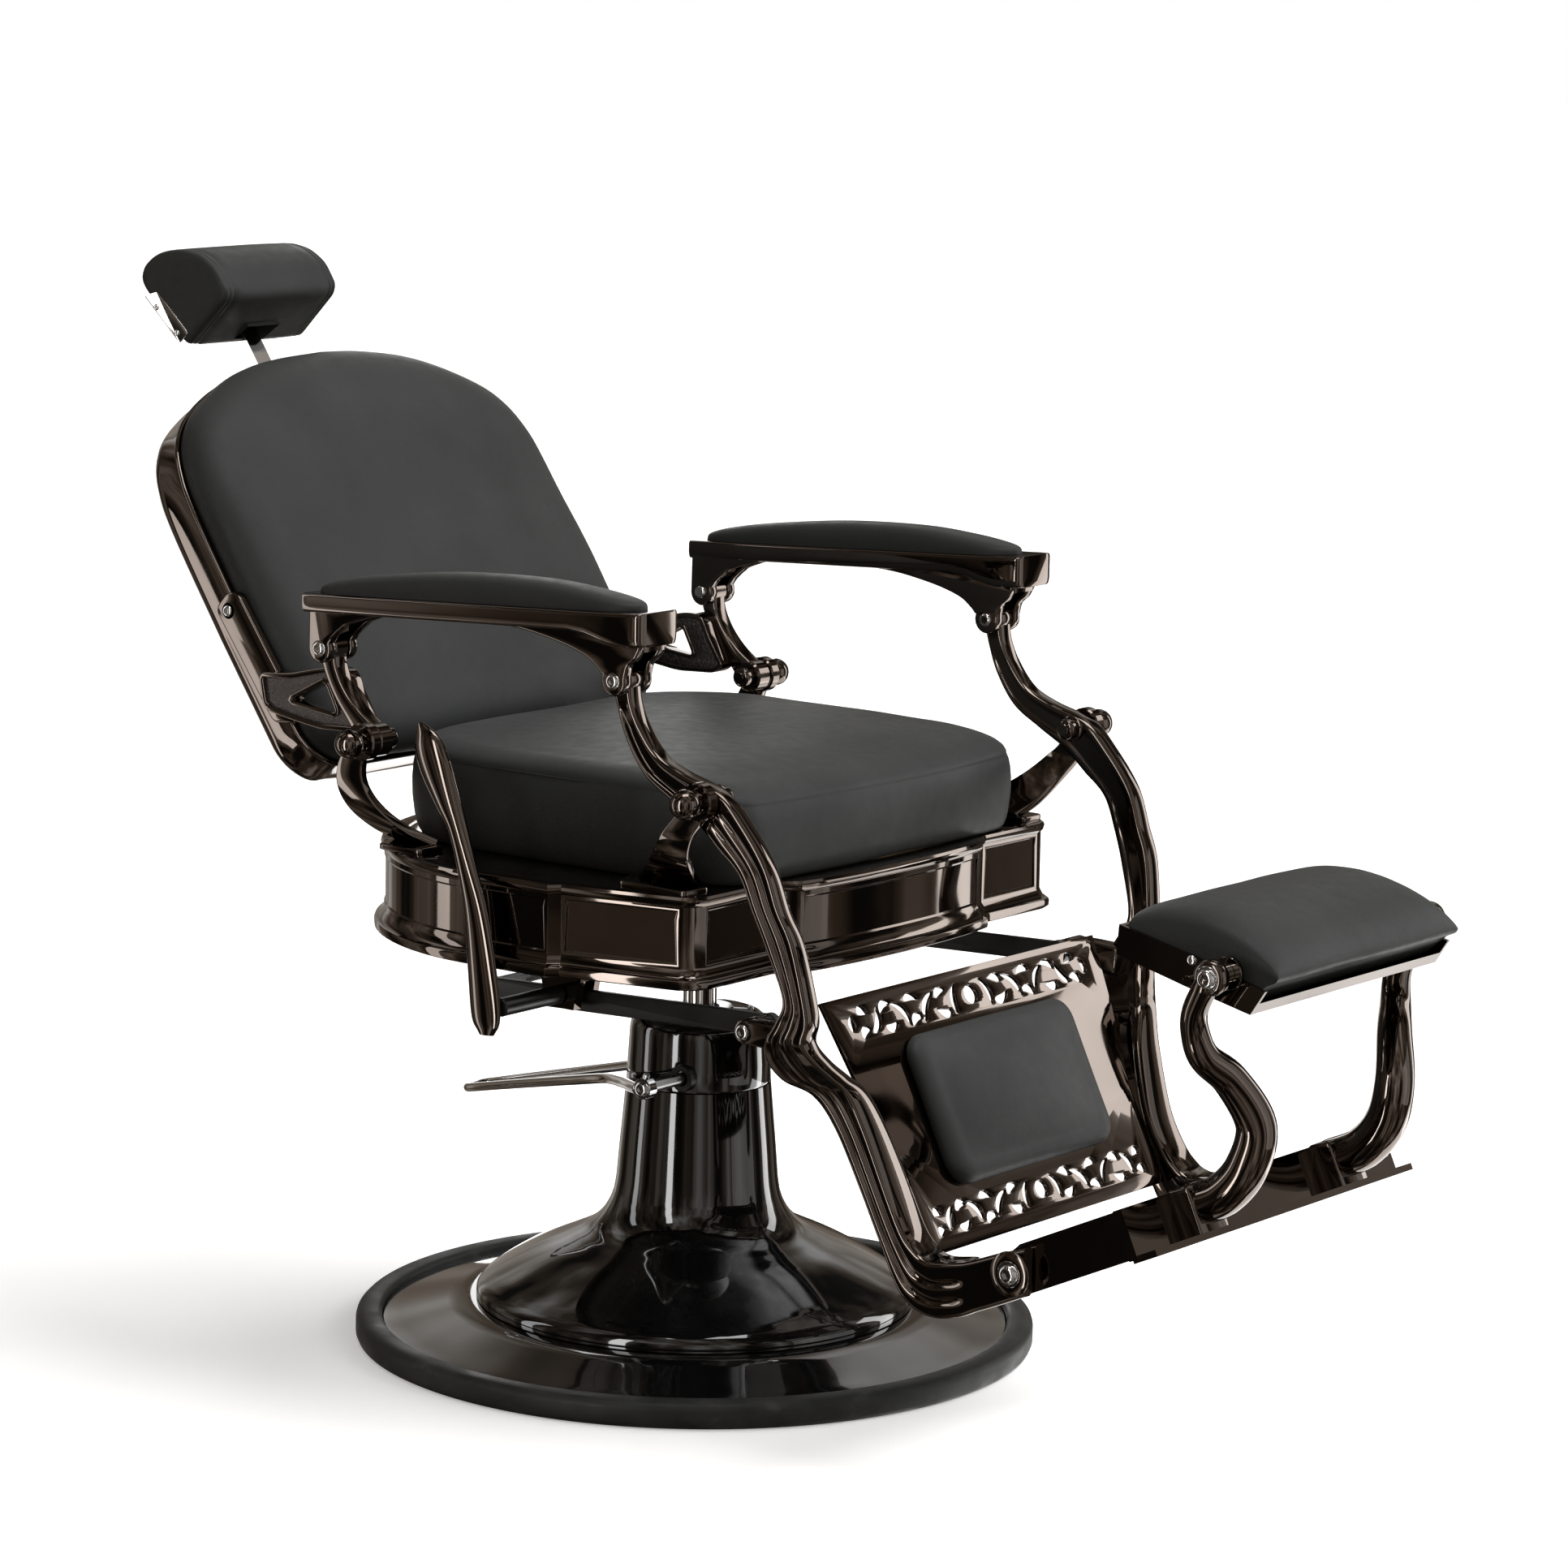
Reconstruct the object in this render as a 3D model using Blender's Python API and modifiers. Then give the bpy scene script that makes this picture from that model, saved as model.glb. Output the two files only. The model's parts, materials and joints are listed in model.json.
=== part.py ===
"""A reclining hydraulic barber chair: every separate piece is one object, in metres.

The origin is on the floor under the pedestal's axis, +X is the way the sitter faces, +Y is the
sitter's left and +Z is up. The chair stands partly reclined, with its pump near its lowest stroke.
Side profiles are lists of (x, z), plans are lists of (x, y) for the left half, and a reach is a
distance from the middle plane, so one list makes both the left and the right piece.
"""

import math

import bmesh
import bpy
from mathutils import Matrix, Vector

GAP = 0.0004  # between pieces that touch
SIDES = (("right", -1), ("left", 1))

# Pedestal and base
RING_RADIUS, RING_INNER, RING_HEIGHT = 0.345, 0.3183, 0.026
PLATE_RADIUS, PLATE_TOP = 0.3177, 0.040
SEAM_HEIGHT, SLEEVE_TOP = 0.266, 0.3415
PUMP_RADIUS, PUMP_TOP = 0.048, 0.300
RAM_RADIUS, RAM_BORE = 0.017, 0.0178
TURN_STEPS = 32

# Pump lever
SHAFT_X, SHAFT_Z, SHAFT_RADIUS = 0.033, 0.282, 0.006
CRANK_LENGTH = 0.021
PLUNGER_REACH = 0.056

# Seat
FRAME_BOTTOM, FRAME_TOP, FRAME_WALL = 0.432, 0.522, 0.006
LEDGE_OUT, LEDGE_TOP = 0.010, 0.443
HUB_BOTTOM, HUB_TOP = 0.410, 0.462
BOARD_TOP = 0.5322

# Hinge lines that run across the chair, as (x, z)
ARMREST_FRONT = (0.145, 0.722)
ARMREST_REAR = (-0.230, 0.714)
LEG_HINGE = (0.248, 0.620)
BACK_HINGE = (-0.173, 0.628)
DRAG_PIN = (0.275, 0.400)
YOKE = (-0.085, 0.385)
LEVER_HUB = (0.032, 0.398)
FOOT_HINGE = (0.560, 0.2105)
FLIP_HINGE = (0.735, 0.5045)

BACK_ANGLE = math.radians(35)
FOOT_ANGLE = math.radians(25)
PANEL_ANGLE = math.radians(26.7)

# Reach of the pieces that lie side by side along a hinge line
ARM_INNER, ARM_OUTER = 0.286, 0.306
EYE_INNER, EYE_OUTER = 0.3065, 0.3195
BALL_REACH, BALL_RADIUS = 0.334, 0.0145

# Head rest post, measured in the back's own frame: u up along it, n out of its front
POST_N = -0.1740
POST_HALF_WIDTH, POST_HALF_THICK = 0.011, 0.0025
TILT_U, KNOB_U = 0.585, 0.400


def new_collection(name, hidden=False):
    made = bpy.data.collections.new(name)
    made.hide_render = hidden
    bpy.context.scene.collection.children.link(made)
    return made


for old in list(bpy.data.objects):
    bpy.data.objects.remove(old)
CHAIR = new_collection("barber_chair")
CUTTERS = new_collection("cutters", hidden=True)


# ---------------------------------------------------------------- materials


def material(name, colour, metallic, roughness):
    made = bpy.data.materials.new(name)
    made.use_nodes = True
    shader = made.node_tree.nodes["Principled BSDF"]
    shader.inputs["Base Color"].default_value = (*colour, 1.0)
    shader.inputs["Metallic"].default_value = metallic
    shader.inputs["Roughness"].default_value = roughness
    return made


GLOSS_BLACK = material("gloss_black", (0.012, 0.012, 0.013), 0.0, 0.08)
RUBBER = material("rubber", (0.045, 0.045, 0.045), 0.0, 0.75)
BLACK_CHROME = material("black_chrome", (0.16, 0.135, 0.125), 1.0, 0.12)
CHROME = material("chrome", (0.75, 0.75, 0.76), 1.0, 0.08)
STEEL = material("steel", (0.42, 0.42, 0.43), 1.0, 0.35)
SATIN_BLACK = material("satin_black", (0.02, 0.02, 0.02), 0.3, 0.45)
LEATHER = material("leather", (0.03, 0.032, 0.032), 0.0, 0.5)
PLYWOOD = material("plywood", (0.35, 0.24, 0.14), 0.0, 0.7)
BLACK_PLASTIC = material("black_plastic", (0.02, 0.02, 0.02), 0.0, 0.4)


# ---------------------------------------------------------------- outlines


def arc(centre, radius, start, end, steps):
    """Points round part of a circle, with the angles in degrees."""
    angles = [math.radians(start + (end - start) * i / steps) for i in range(steps + 1)]
    return [(centre[0] + radius * math.cos(a), centre[1] + radius * math.sin(a)) for a in angles]


def mirrored_plan(half):
    """A closed plan from its left half, which starts and ends on the middle plane."""
    return half + [(x, -y) for x, y in reversed(half[1:-1])]


def offset(outline, distance):
    """The closed anticlockwise outline moved outwards, with mitred corners."""
    moved = []
    for i, here in enumerate(outline):
        before, after = Vector(outline[i - 1]), Vector(outline[(i + 1) % len(outline)])
        here = Vector(here)
        first, second = (here - before).normalized(), (after - here).normalized()
        normal = Vector((first.y + second.y, -first.x - second.x)).normalized()
        stretch = max(normal.dot(Vector((second.y, -second.x))), 0.5)
        moved.append(tuple(here + normal * distance / stretch))
    return moved


def band(centre_line, widths):
    """The outline of a strip that follows a centre line, anticlockwise or clockwise."""
    left, right = [], []
    for i, (x, z) in enumerate(centre_line):
        ahead = Vector(centre_line[min(i + 1, len(centre_line) - 1)])
        along = (ahead - Vector(centre_line[max(i - 1, 0)])).normalized() * widths[i] / 2
        left.append((x - along.y, z + along.x))
        right.append((x + along.y, z - along.x))
    return right + left[::-1]


# ---------------------------------------------------------------- shapes, each a mesh


def mesh_of(cage, name="shape"):
    """A Blender mesh from a bmesh, with its faces turned outwards."""
    bmesh.ops.recalc_face_normals(cage, faces=cage.faces)
    made = bpy.data.meshes.new(name)
    cage.to_mesh(made)
    cage.free()
    return made


def baked(source):
    """The mesh that a curve or a modifier makes, in world space, with its caps welded."""
    graph = bpy.context.evaluated_depsgraph_get()
    made = bpy.data.meshes.new_from_object(source.evaluated_get(graph))
    made.transform(source.matrix_basis)
    bpy.data.objects.remove(source)
    cage = bmesh.new()
    cage.from_mesh(made)
    bmesh.ops.remove_doubles(cage, verts=cage.verts, dist=1e-5)
    return mesh_of(cage)


def box(low, high):
    cage = bmesh.new()
    middle = (Vector(low) + Vector(high)) / 2
    size = Vector(high) - Vector(low)
    bmesh.ops.create_cube(cage, size=1.0, matrix=Matrix.Translation(middle) @ Matrix.Diagonal((*size, 1)))
    return mesh_of(cage)


def rod(start, end, radius, sides=12, end_radius=None):
    """A cylinder, or a cone with a different end radius."""
    start, end = Vector(start), Vector(end)
    cage = bmesh.new()
    turn = (end - start).to_track_quat("Z", "Y").to_matrix().to_4x4()
    bmesh.ops.create_cone(
        cage,
        cap_ends=True,
        segments=sides,
        radius1=radius,
        radius2=radius if end_radius is None else end_radius,
        depth=(end - start).length,
        matrix=Matrix.Translation((start + end) / 2) @ turn,
    )
    return mesh_of(cage)


def cross_rod(point, side, inner, outer, radius, sides=12):
    """A cylinder along Y through a hinge line, between two reaches."""
    return rod((point[0], side * inner, point[1]), (point[0], side * outer, point[1]), radius, sides)


def ball(centre, radius):
    cage = bmesh.new()
    bmesh.ops.create_uvsphere(
        cage, u_segments=12, v_segments=7, radius=radius, matrix=Matrix.Translation(centre)
    )
    return mesh_of(cage)


def turned(profile, closed=False, steps=TURN_STEPS):
    """A profile of (radius, z), top to bottom down its outer side, turned about Z."""
    made = bpy.data.meshes.new("profile")
    edges = [(i, i + 1) for i in range(len(profile) - 1)]
    if closed:
        edges.append((len(profile) - 1, 0))
    made.from_pydata([(r, 0, z) for r, z in profile], edges, [])
    source = bpy.data.objects.new("profile", made)
    CUTTERS.objects.link(source)
    screw = source.modifiers.new("Screw", "SCREW")
    screw.steps = screw.render_steps = steps
    screw.use_merge_vertices = True
    screw.merge_threshold = 0.0001
    return baked(source)


def flat_curve(outlines, thickness, matrix):
    """A 2-D curve extruded to a thickness: the first outline is the edge, the others are holes."""
    data = bpy.data.curves.new("outline", "CURVE")
    data.dimensions = "2D"
    data.fill_mode = "BOTH"
    data.extrude = thickness / 2
    for outline in outlines:
        spline = data.splines.new("POLY")
        spline.points.add(len(outline) - 1)
        for point, (x, y) in zip(spline.points, outline):
            point.co = (x, y, 0, 1)
        spline.use_cyclic_u = True
    source = bpy.data.objects.new("outline", data)
    source.matrix_basis = matrix
    CUTTERS.objects.link(source)
    return baked(source)


def plate(outline, side, inner, outer, holes=()):
    """A side profile given thickness across the chair, between two reaches."""
    middle = side * (inner + outer) / 2
    upright = Matrix.Translation((0, middle, 0)) @ Matrix.Rotation(math.radians(90), 4, "X")
    return flat_curve([outline, *holes], outer - inner, upright)


def slab(outline, low, high, holes=()):
    """A plan given thickness upwards."""
    return flat_curve([outline, *holes], high - low, Matrix.Translation((0, 0, (low + high) / 2)))


def sweep(points, radii, sides=2, cyclic=False):
    """A round bar along a line, with a radius at each point."""
    data = bpy.data.curves.new("bar", "CURVE")
    data.dimensions = "3D"
    data.bevel_depth = 1.0
    data.bevel_resolution = sides
    data.use_fill_caps = True
    spline = data.splines.new("POLY")
    spline.points.add(len(points) - 1)
    for point, place, radius in zip(spline.points, points, radii):
        point.co = (*place, 1)
        point.radius = radius
    spline.use_cyclic_u = cyclic
    source = bpy.data.objects.new("bar", data)
    CUTTERS.objects.link(source)
    return baked(source)


def smooth(points, steps):
    """A curve through the points (Catmull-Rom), read at equal steps between each two."""
    points = [Vector(p) for p in points]
    ends = [2 * points[0] - points[1], *points, 2 * points[-1] - points[-2]]
    read = []
    for a, b, c, d in zip(ends, ends[1:], ends[2:], ends[3:]):
        for i in range(steps):
            t = i / steps
            bend, twist = 2 * a - 5 * b + 4 * c - d, 3 * b - a - 3 * c + d
            read.append(b + 0.5 * ((c - a) * t + bend * t**2 + twist * t**3))
    return read + [points[-1]]


def loft(sections):
    """A closed skin through sections that have the same number of points."""
    cage = bmesh.new()
    rings = [[cage.verts.new(point) for point in section] for section in sections]
    for ring, following in zip(rings, rings[1:]):
        for i in range(len(ring)):
            j = (i + 1) % len(ring)
            cage.faces.new((ring[i], ring[j], following[j], following[i]))
    cage.faces.new(rings[0])
    cage.faces.new(rings[-1])
    bmesh.ops.triangulate(cage, faces=cage.faces)
    return mesh_of(cage)


def stack(outline, levels, crown=()):
    """A closed skin through one plan at several heights.

    Levels are (z, distance outwards). Above them a crown is (z, share), the last level's plan
    shrunk to a share of its size about its middle.
    """
    rings = [[(x, y, z) for x, y in offset(outline, out)] for z, out in levels]
    middle = [(min(axis) + max(axis)) / 2 for axis in zip(*outline)]
    for z, share in crown:
        shrunk = [(share * (x - middle[0]), share * (y - middle[1])) for x, y, _ in rings[len(levels) - 1]]
        rings.append([(middle[0] + x, middle[1] + y, z) for x, y in shrunk])
    return loft(rings)


def moved(mesh, matrix):
    mesh.transform(matrix)
    return mesh


# ---------------------------------------------------------------- pieces and bodies

BODIES = {}


def body(name, place=(0, 0, 0), parent=None):
    """An empty on the body's joint, for its pieces to ride on."""
    empty = bpy.data.objects.new(name + "_joint", None)
    empty.empty_display_size = 0.05
    empty.matrix_world = Matrix.Translation(place)
    CHAIR.objects.link(empty)
    if parent:
        ride(empty, parent)
    BODIES[name] = (empty, Vector(place))


def ride(child, parent):
    """Parents a piece whose mesh is in world space to a body's empty."""
    empty, place = BODIES[parent]
    child.parent = empty
    child.matrix_parent_inverse = Matrix.Translation(-place)


def across(point):
    """The middle of a hinge line that runs across the chair."""
    return (point[0], 0, point[1])


def back_matrix():
    """From the back's own frame (y, u, n) to the chair's, with the origin on the back hinge."""
    sine, cosine = math.sin(BACK_ANGLE), math.cos(BACK_ANGLE)
    up, out = Vector((-sine, 0, cosine)), Vector((cosine, 0, sine))
    turn = Matrix((Vector((0, 1, 0)), up, out)).transposed().to_4x4()
    return Matrix.Translation(across(BACK_HINGE)) @ turn


TO_CHAIR = back_matrix()
ON_SLEEVE = tuple(TO_CHAIR @ Vector((0, KNOB_U, POST_N)))
ON_TILT = tuple(TO_CHAIR @ Vector((0, TILT_U, POST_N)))

body("base")
body("pump_lever", (SHAFT_X, 0, SHAFT_Z), "base")
body("pump_plunger", (0, 0, 0), "base")
body("piston", (0, 0, 0), "base")
body("seat", (0, 0, 0), "piston")
body("recline_lever", across(LEVER_HUB), "seat")
body("back", across(BACK_HINGE), "seat")
body("headrest_post", ON_SLEEVE, "back")
body("headrest_knob", ON_SLEEVE, "back")
body("headrest", ON_TILT, "headrest_post")
body("right_armrest", across(ARMREST_REAR), "back")
body("left_armrest", across(ARMREST_REAR), "back")
body("leg_frame", across(LEG_HINGE), "seat")
body("drag_link", across(DRAG_PIN), "leg_frame")
body("footrest_frame", across(FOOT_HINGE), "leg_frame")
body("footrest_pad", across(FLIP_HINGE), "footrest_frame")


def helper(mesh, name):
    """A hidden object that a Boolean modifier reads."""
    made = bpy.data.objects.new(name, mesh)
    made.display_type = "WIRE"
    made.hide_render = True
    CUTTERS.objects.link(made)
    return made


def piece(name, on_body, skin, mesh, joined=(), cut=()):
    """One sub-part: its own object and material, with shapes joined to it and then cut from it."""
    mesh.name = name
    mesh.materials.clear()
    mesh.materials.append(skin)
    mesh.shade_smooth()
    mesh.set_sharp_from_angle(angle=math.radians(35))
    made = bpy.data.objects.new(name, mesh)
    CHAIR.objects.link(made)
    for operation, tools in (("UNION", joined), ("DIFFERENCE", cut)):
        for number, tool in enumerate(tools):
            boolean = made.modifiers.new(f"{operation} {number}", "BOOLEAN")
            boolean.operation = operation
            boolean.solver = "EXACT"
            boolean.object = helper(tool, f"{name} {operation.lower()} {number}")
    ride(made, on_body)
    return made


# ---------------------------------------------------------------- base and pump


def base_plate():
    """Domed casting, hollow underneath between a centre foot and the rim."""
    rim, thick = 0.0200, 0.008
    skin = [
        (0, PLATE_TOP),
        (0.225, PLATE_TOP),
        (0.252, 0.0355),
        (0.300, 0.0235),
        (PLATE_RADIUS, rim),
        (PLATE_RADIUS, 0),
        (0.300, 0),
        (0.292, 0.025 - thick),
        (0.225, PLATE_TOP - thick),
        (0.085, PLATE_TOP - thick),
        (0.075, 0),
        (0, 0),
    ]
    piece("base_plate", "base", GLOSS_BLACK, turned(skin))


def base_ring():
    profile = [
        (0.324, RING_HEIGHT),
        (0.338, RING_HEIGHT),
        (RING_RADIUS, 0.019),
        (RING_RADIUS, 0.004),
        (0.341, 0),
        (RING_INNER, 0),
        (RING_INNER, 0.0215),
    ]
    piece("base_ring", "base", RUBBER, turned(profile, closed=True))


def pedestal_shroud():
    wall = 0.004
    outer = [
        (0.0735, SEAM_HEIGHT),
        (0.0800, 0.202),
        (0.0840, 0.153),
        (0.0900, 0.135),
        (0.0970, 0.122),
        (0.1300, 0.106),
        (0.1760, 0.080),
        (0.2130, 0.060),
        (0.2230, 0.052),
        (0.2230, PLATE_TOP + GAP),
    ]
    inner = [(0.2190, PLATE_TOP + GAP), (0.2190, 0.049)]
    inner += [(r - wall * 0.7, z - wall * 0.8) for r, z in reversed(outer[4:8])]
    inner += [(r - wall, z) for r, z in reversed(outer[:4])]
    piece("pedestal_shroud", "base", GLOSS_BLACK, turned(outer + inner, closed=True))


def pedestal_sleeve():
    """Upper cover with a domed lid, open round the ram, and a hole for the shaft on each side."""
    profile = [
        (0.0190, SLEEVE_TOP),
        (0.0450, SLEEVE_TOP - 0.0005),
        (0.0620, 0.3350),
        (0.0700, 0.3250),
        (0.0735, SEAM_HEIGHT + GAP),
        (0.0690, SEAM_HEIGHT + GAP),
        (0.0660, 0.3230),
        (0.0595, 0.3310),
        (0.0440, 0.3365),
        (0.0190, 0.3370),
    ]
    hole = rod((SHAFT_X, -0.09, SHAFT_Z), (SHAFT_X, 0.09, SHAFT_Z), 0.0125)
    piece("pedestal_sleeve", "base", GLOSS_BLACK, turned(profile, closed=True), cut=[hole])


def pump_cylinder():
    """Pump body with a blind bore for the ram, a cross hole for the shaft and a plunger barrel."""
    profile = [
        (0, 0.065),
        (RAM_BORE, 0.065),
        (RAM_BORE, PUMP_TOP),
        (PUMP_RADIUS, PUMP_TOP),
        (PUMP_RADIUS, PLATE_TOP + GAP),
        (0, PLATE_TOP + GAP),
    ]
    hole = rod((SHAFT_X, -0.06, SHAFT_Z), (SHAFT_X, 0.06, SHAFT_Z), 0.0068)
    plunger_x = SHAFT_X - CRANK_LENGTH
    barrel = box((plunger_x - 0.009, -0.065, 0.14), (plunger_x + 0.009, -0.040, 0.235))
    bore = rod((plunger_x, -PLUNGER_REACH, 0.155), (plunger_x, -PLUNGER_REACH, 0.24), 0.0055)
    piece("pump_cylinder", "base", STEEL, turned(profile, steps=24), joined=[barrel], cut=[hole, bore])


def pump_plunger():
    x = SHAFT_X - CRANK_LENGTH
    stem = rod((x, -PLUNGER_REACH, 0.17), (x, -PLUNGER_REACH, 0.2715), 0.005)
    piece("pump_plunger", "pump_plunger", STEEL, stem)


def pump_shaft():
    """Cross shaft with the crank that pushes the plunger."""
    shaft = rod((SHAFT_X, -0.131, SHAFT_Z), (SHAFT_X, 0.131, SHAFT_Z), SHAFT_RADIUS)
    tip = SHAFT_X - CRANK_LENGTH - 0.004
    crank = box((tip, -0.061, SHAFT_Z - 0.005), (SHAFT_X, -0.0515, SHAFT_Z + 0.005))
    piece("pump_shaft", "pump_lever", STEEL, shaft, joined=[crank])


def pump_lever():
    """One bent bar with its round end at the back and a clamp ring on each end of the shaft."""
    reach = 0.125
    half = [(SHAFT_X - 0.010, reach, 0.280), (-0.010, 0.100, 0.2755), (-0.072, 0.057, 0.2665)]
    half += [(-0.180, 0.0385, 0.240), (-0.290, 0.0200, 0.2120), (-0.301, 0.0120, 0.2092)]
    line = half + [(-0.305, 0, 0.2082)] + [(x, -y, z) for x, y, z in reversed(half)]
    rings = [cross_rod((SHAFT_X, SHAFT_Z), side, 0.119, 0.1305, 0.0105) for _, side in SIDES]
    hole = rod((SHAFT_X, -0.14, SHAFT_Z), (SHAFT_X, 0.14, SHAFT_Z), 0.0064)
    bar = sweep(smooth(line, 2), [0.005] * (2 * len(line) - 1))
    piece("pump_lever", "pump_lever", CHROME, bar, joined=rings, cut=[hole])


def piston():
    ram = [(0, 0.446), (RAM_RADIUS, 0.446), (RAM_RADIUS, 0.075), (0, 0.075)]
    piece("piston", "piston", CHROME, turned(ram, steps=24))


# ---------------------------------------------------------------- seat


def seat_plan():
    """Bow front, stepped corner blocks and a round back."""
    front = [(0.250, 0), (0.2485, 0.060), (0.2440, 0.115), (0.2390, 0.145), (0.2260, 0.160)]
    block = [(0.2220, 0.175), (0.2220, 0.268), (0.2180, 0.280), (0.2080, 0.2885), (0.0850, 0.3165)]
    side = [(0.0770, 0.3270)]
    rear = arc((-0.020, 0.080), 0.250, 90, 180, 8)
    return mirrored_plan(front + block + side + rear + [(-0.270, 0)])


def cushion_plan():
    front = [(0.2350, 0), (0.2325, 0.110)]
    corner = arc((0.1790, 0.1890), 0.050, 15, 80, 4)
    side = [(0.060, 0.2490), (-0.030, 0.2500)]
    rear = arc((-0.1050, 0.1200), 0.130, 90, 180, 6)
    return mirrored_plan(front + corner + side + rear + [(-0.2350, 0)])


def seat_frame():
    """Skirt casting: an outer wall with a flared foot and a top deck, open in the middle."""
    plan = seat_plan()
    outside = [
        (FRAME_BOTTOM, LEDGE_OUT),
        (LEDGE_TOP - 0.003, LEDGE_OUT),
        (LEDGE_TOP + 0.004, 0),
        (FRAME_TOP, 0),
    ]
    inside = [(FRAME_BOTTOM - 0.02, -FRAME_WALL), (FRAME_TOP - 0.0065, -FRAME_WALL)]
    opening = stack(cushion_plan(), [(FRAME_TOP - 0.03, -0.030), (FRAME_TOP + 0.02, -0.030)])
    piece("seat_frame", "seat", BLACK_CHROME, stack(plan, outside), cut=[stack(plan, inside), opening])


def seat_plate():
    """Steel plate inside the skirt, bolted on the swivel hub."""
    plan = offset(seat_plan(), -FRAME_WALL - 0.0006)
    piece("seat_plate", "seat", STEEL, slab(plan, HUB_TOP + GAP, HUB_TOP + 0.0064))


def seat_hub():
    """Swivel socket over the ram's end, with a flange under the seat plate."""
    profile = [
        (0, HUB_TOP),
        (0.085, HUB_TOP),
        (0.085, HUB_TOP - 0.012),
        (0.034, 0.444),
        (0.032, HUB_BOTTOM),
        (RAM_BORE, HUB_BOTTOM),
        (RAM_BORE, 0.448),
        (0, 0.448),
    ]
    piece("seat_hub", "seat", STEEL, turned(profile, steps=24))


def seat_board():
    piece("seat_board", "seat", PLYWOOD, slab(offset(cushion_plan(), -0.010), FRAME_TOP + GAP, BOARD_TOP))


def seat_cushion():
    levels = [(BOARD_TOP + GAP, -0.010), (0.540, 0), (0.602, 0), (0.615, -0.009)]
    crown = [(0.624, 0.86), (0.6285, 0.62)]
    piece("seat_cushion", "seat", LEATHER, stack(cushion_plan(), levels, crown))


def strap(rows, side, thickness):
    """A flat strap whose face looks outwards: rows are (reach, z, rear x, front x)."""
    sections = []
    for i, (reach, z, rear, front) in enumerate(rows):
        before, after = rows[max(i - 1, 0)], rows[min(i + 1, len(rows) - 1)]
        along = Vector((after[0] - before[0], after[1] - before[1])).normalized() * thickness / 2
        near, far = (reach - along.y, z + along.x), (reach + along.y, z - along.x)
        sections.append(
            [(rear, side * near[0], near[1]), (front, side * near[0], near[1])]
            + [(front, side * far[0], far[1]), (rear, side * far[0], far[1])]
        )
    return loft(sections)


FRONT_BRACKET_ROWS = [
    (0.3130, 0.6220, 0.2320, 0.2640),
    (0.3128, 0.6020, 0.2200, 0.2530),
    (0.3115, 0.5840, 0.2030, 0.2400),
    (0.2990, 0.5620, 0.1810, 0.2260),
    (0.2780, 0.5420, 0.1550, 0.2160),
    (0.2530, 0.5278, 0.1270, 0.2050),
]
REAR_POST_ROWS = [
    (0.3130, 0.6280, -0.1880, -0.1580),
    (0.3130, 0.6050, -0.2040, -0.1720),
    (0.3105, 0.5820, -0.2080, -0.1700),
    (0.3020, 0.5600, -0.2000, -0.1560),
    (0.2880, 0.5420, -0.1830, -0.1360),
    (0.2700, 0.5292, -0.1660, -0.1160),
]


def seat_brackets():
    """Straps that stand on the deck and carry the leg frame's and the back's hinge balls."""
    for name, rows, hinge in (
        ("front_bracket", FRONT_BRACKET_ROWS, LEG_HINGE),
        ("rear_post", REAR_POST_ROWS, BACK_HINGE),
    ):
        for word, side in SIDES:
            eye = cross_rod(hinge, side, EYE_INNER, EYE_OUTER, 0.0185)
            hole = cross_rod(hinge, side, 0.28, 0.34, 0.0071)
            piece(
                f"{word}_{name}", "seat", BLACK_CHROME, strap(rows, side, 0.009), joined=[eye], cut=[hole]
            )


def hinge_balls():
    """Ball-headed hinge bolts: head, collar, shank and the nut inside."""
    for name, hinge in (("front", LEG_HINGE), ("rear", BACK_HINGE)):
        for word, side in SIDES:
            shank = cross_rod(hinge, side, 0.2700, 0.330, 0.0065)
            head = ball((hinge[0], side * BALL_REACH, hinge[1]), BALL_RADIUS)
            collar = cross_rod(hinge, side, EYE_OUTER + GAP, 0.328, 0.0115)
            nut = cross_rod(hinge, side, 0.2740, ARM_INNER - GAP, 0.0105)
            piece(f"{word}_{name}_hinge_ball", "seat", BLACK_CHROME, shank, joined=[head, collar, nut])


# ---------------------------------------------------------------- recline lock and its lever

BAR_INNER, BAR_OUTER = 0.231, 0.239
CLAMP_TOP = 0.4145


def clamp_brackets():
    """Hangers under the seat plate that guide the drag bars: the right one also carries the lever."""
    block = [(0.000, CLAMP_TOP), (0.064, CLAMP_TOP), (0.064, HUB_TOP), (0.000, HUB_TOP)]
    for name, side in (("lever_bracket", -1), ("bar_guide", 1)):
        bridge = plate(block, side, 0.222, 0.262)
        low = 0.384 if side < 0 else 0.388
        cheek = [(0.014, low), (0.050, low), (0.058, 0.4250), (0.006, 0.4250)]
        joined = [plate(cheek, side, 0.2220, 0.2300)]
        cut = []
        if side < 0:
            joined.append(plate(cheek, side, 0.2450, 0.2560))
            cut.append(cross_rod(LEVER_HUB, side, 0.2400, 0.2700, 0.0050))
        piece(name, "seat", BLACK_CHROME, bridge, joined=joined, cut=cut)


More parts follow.
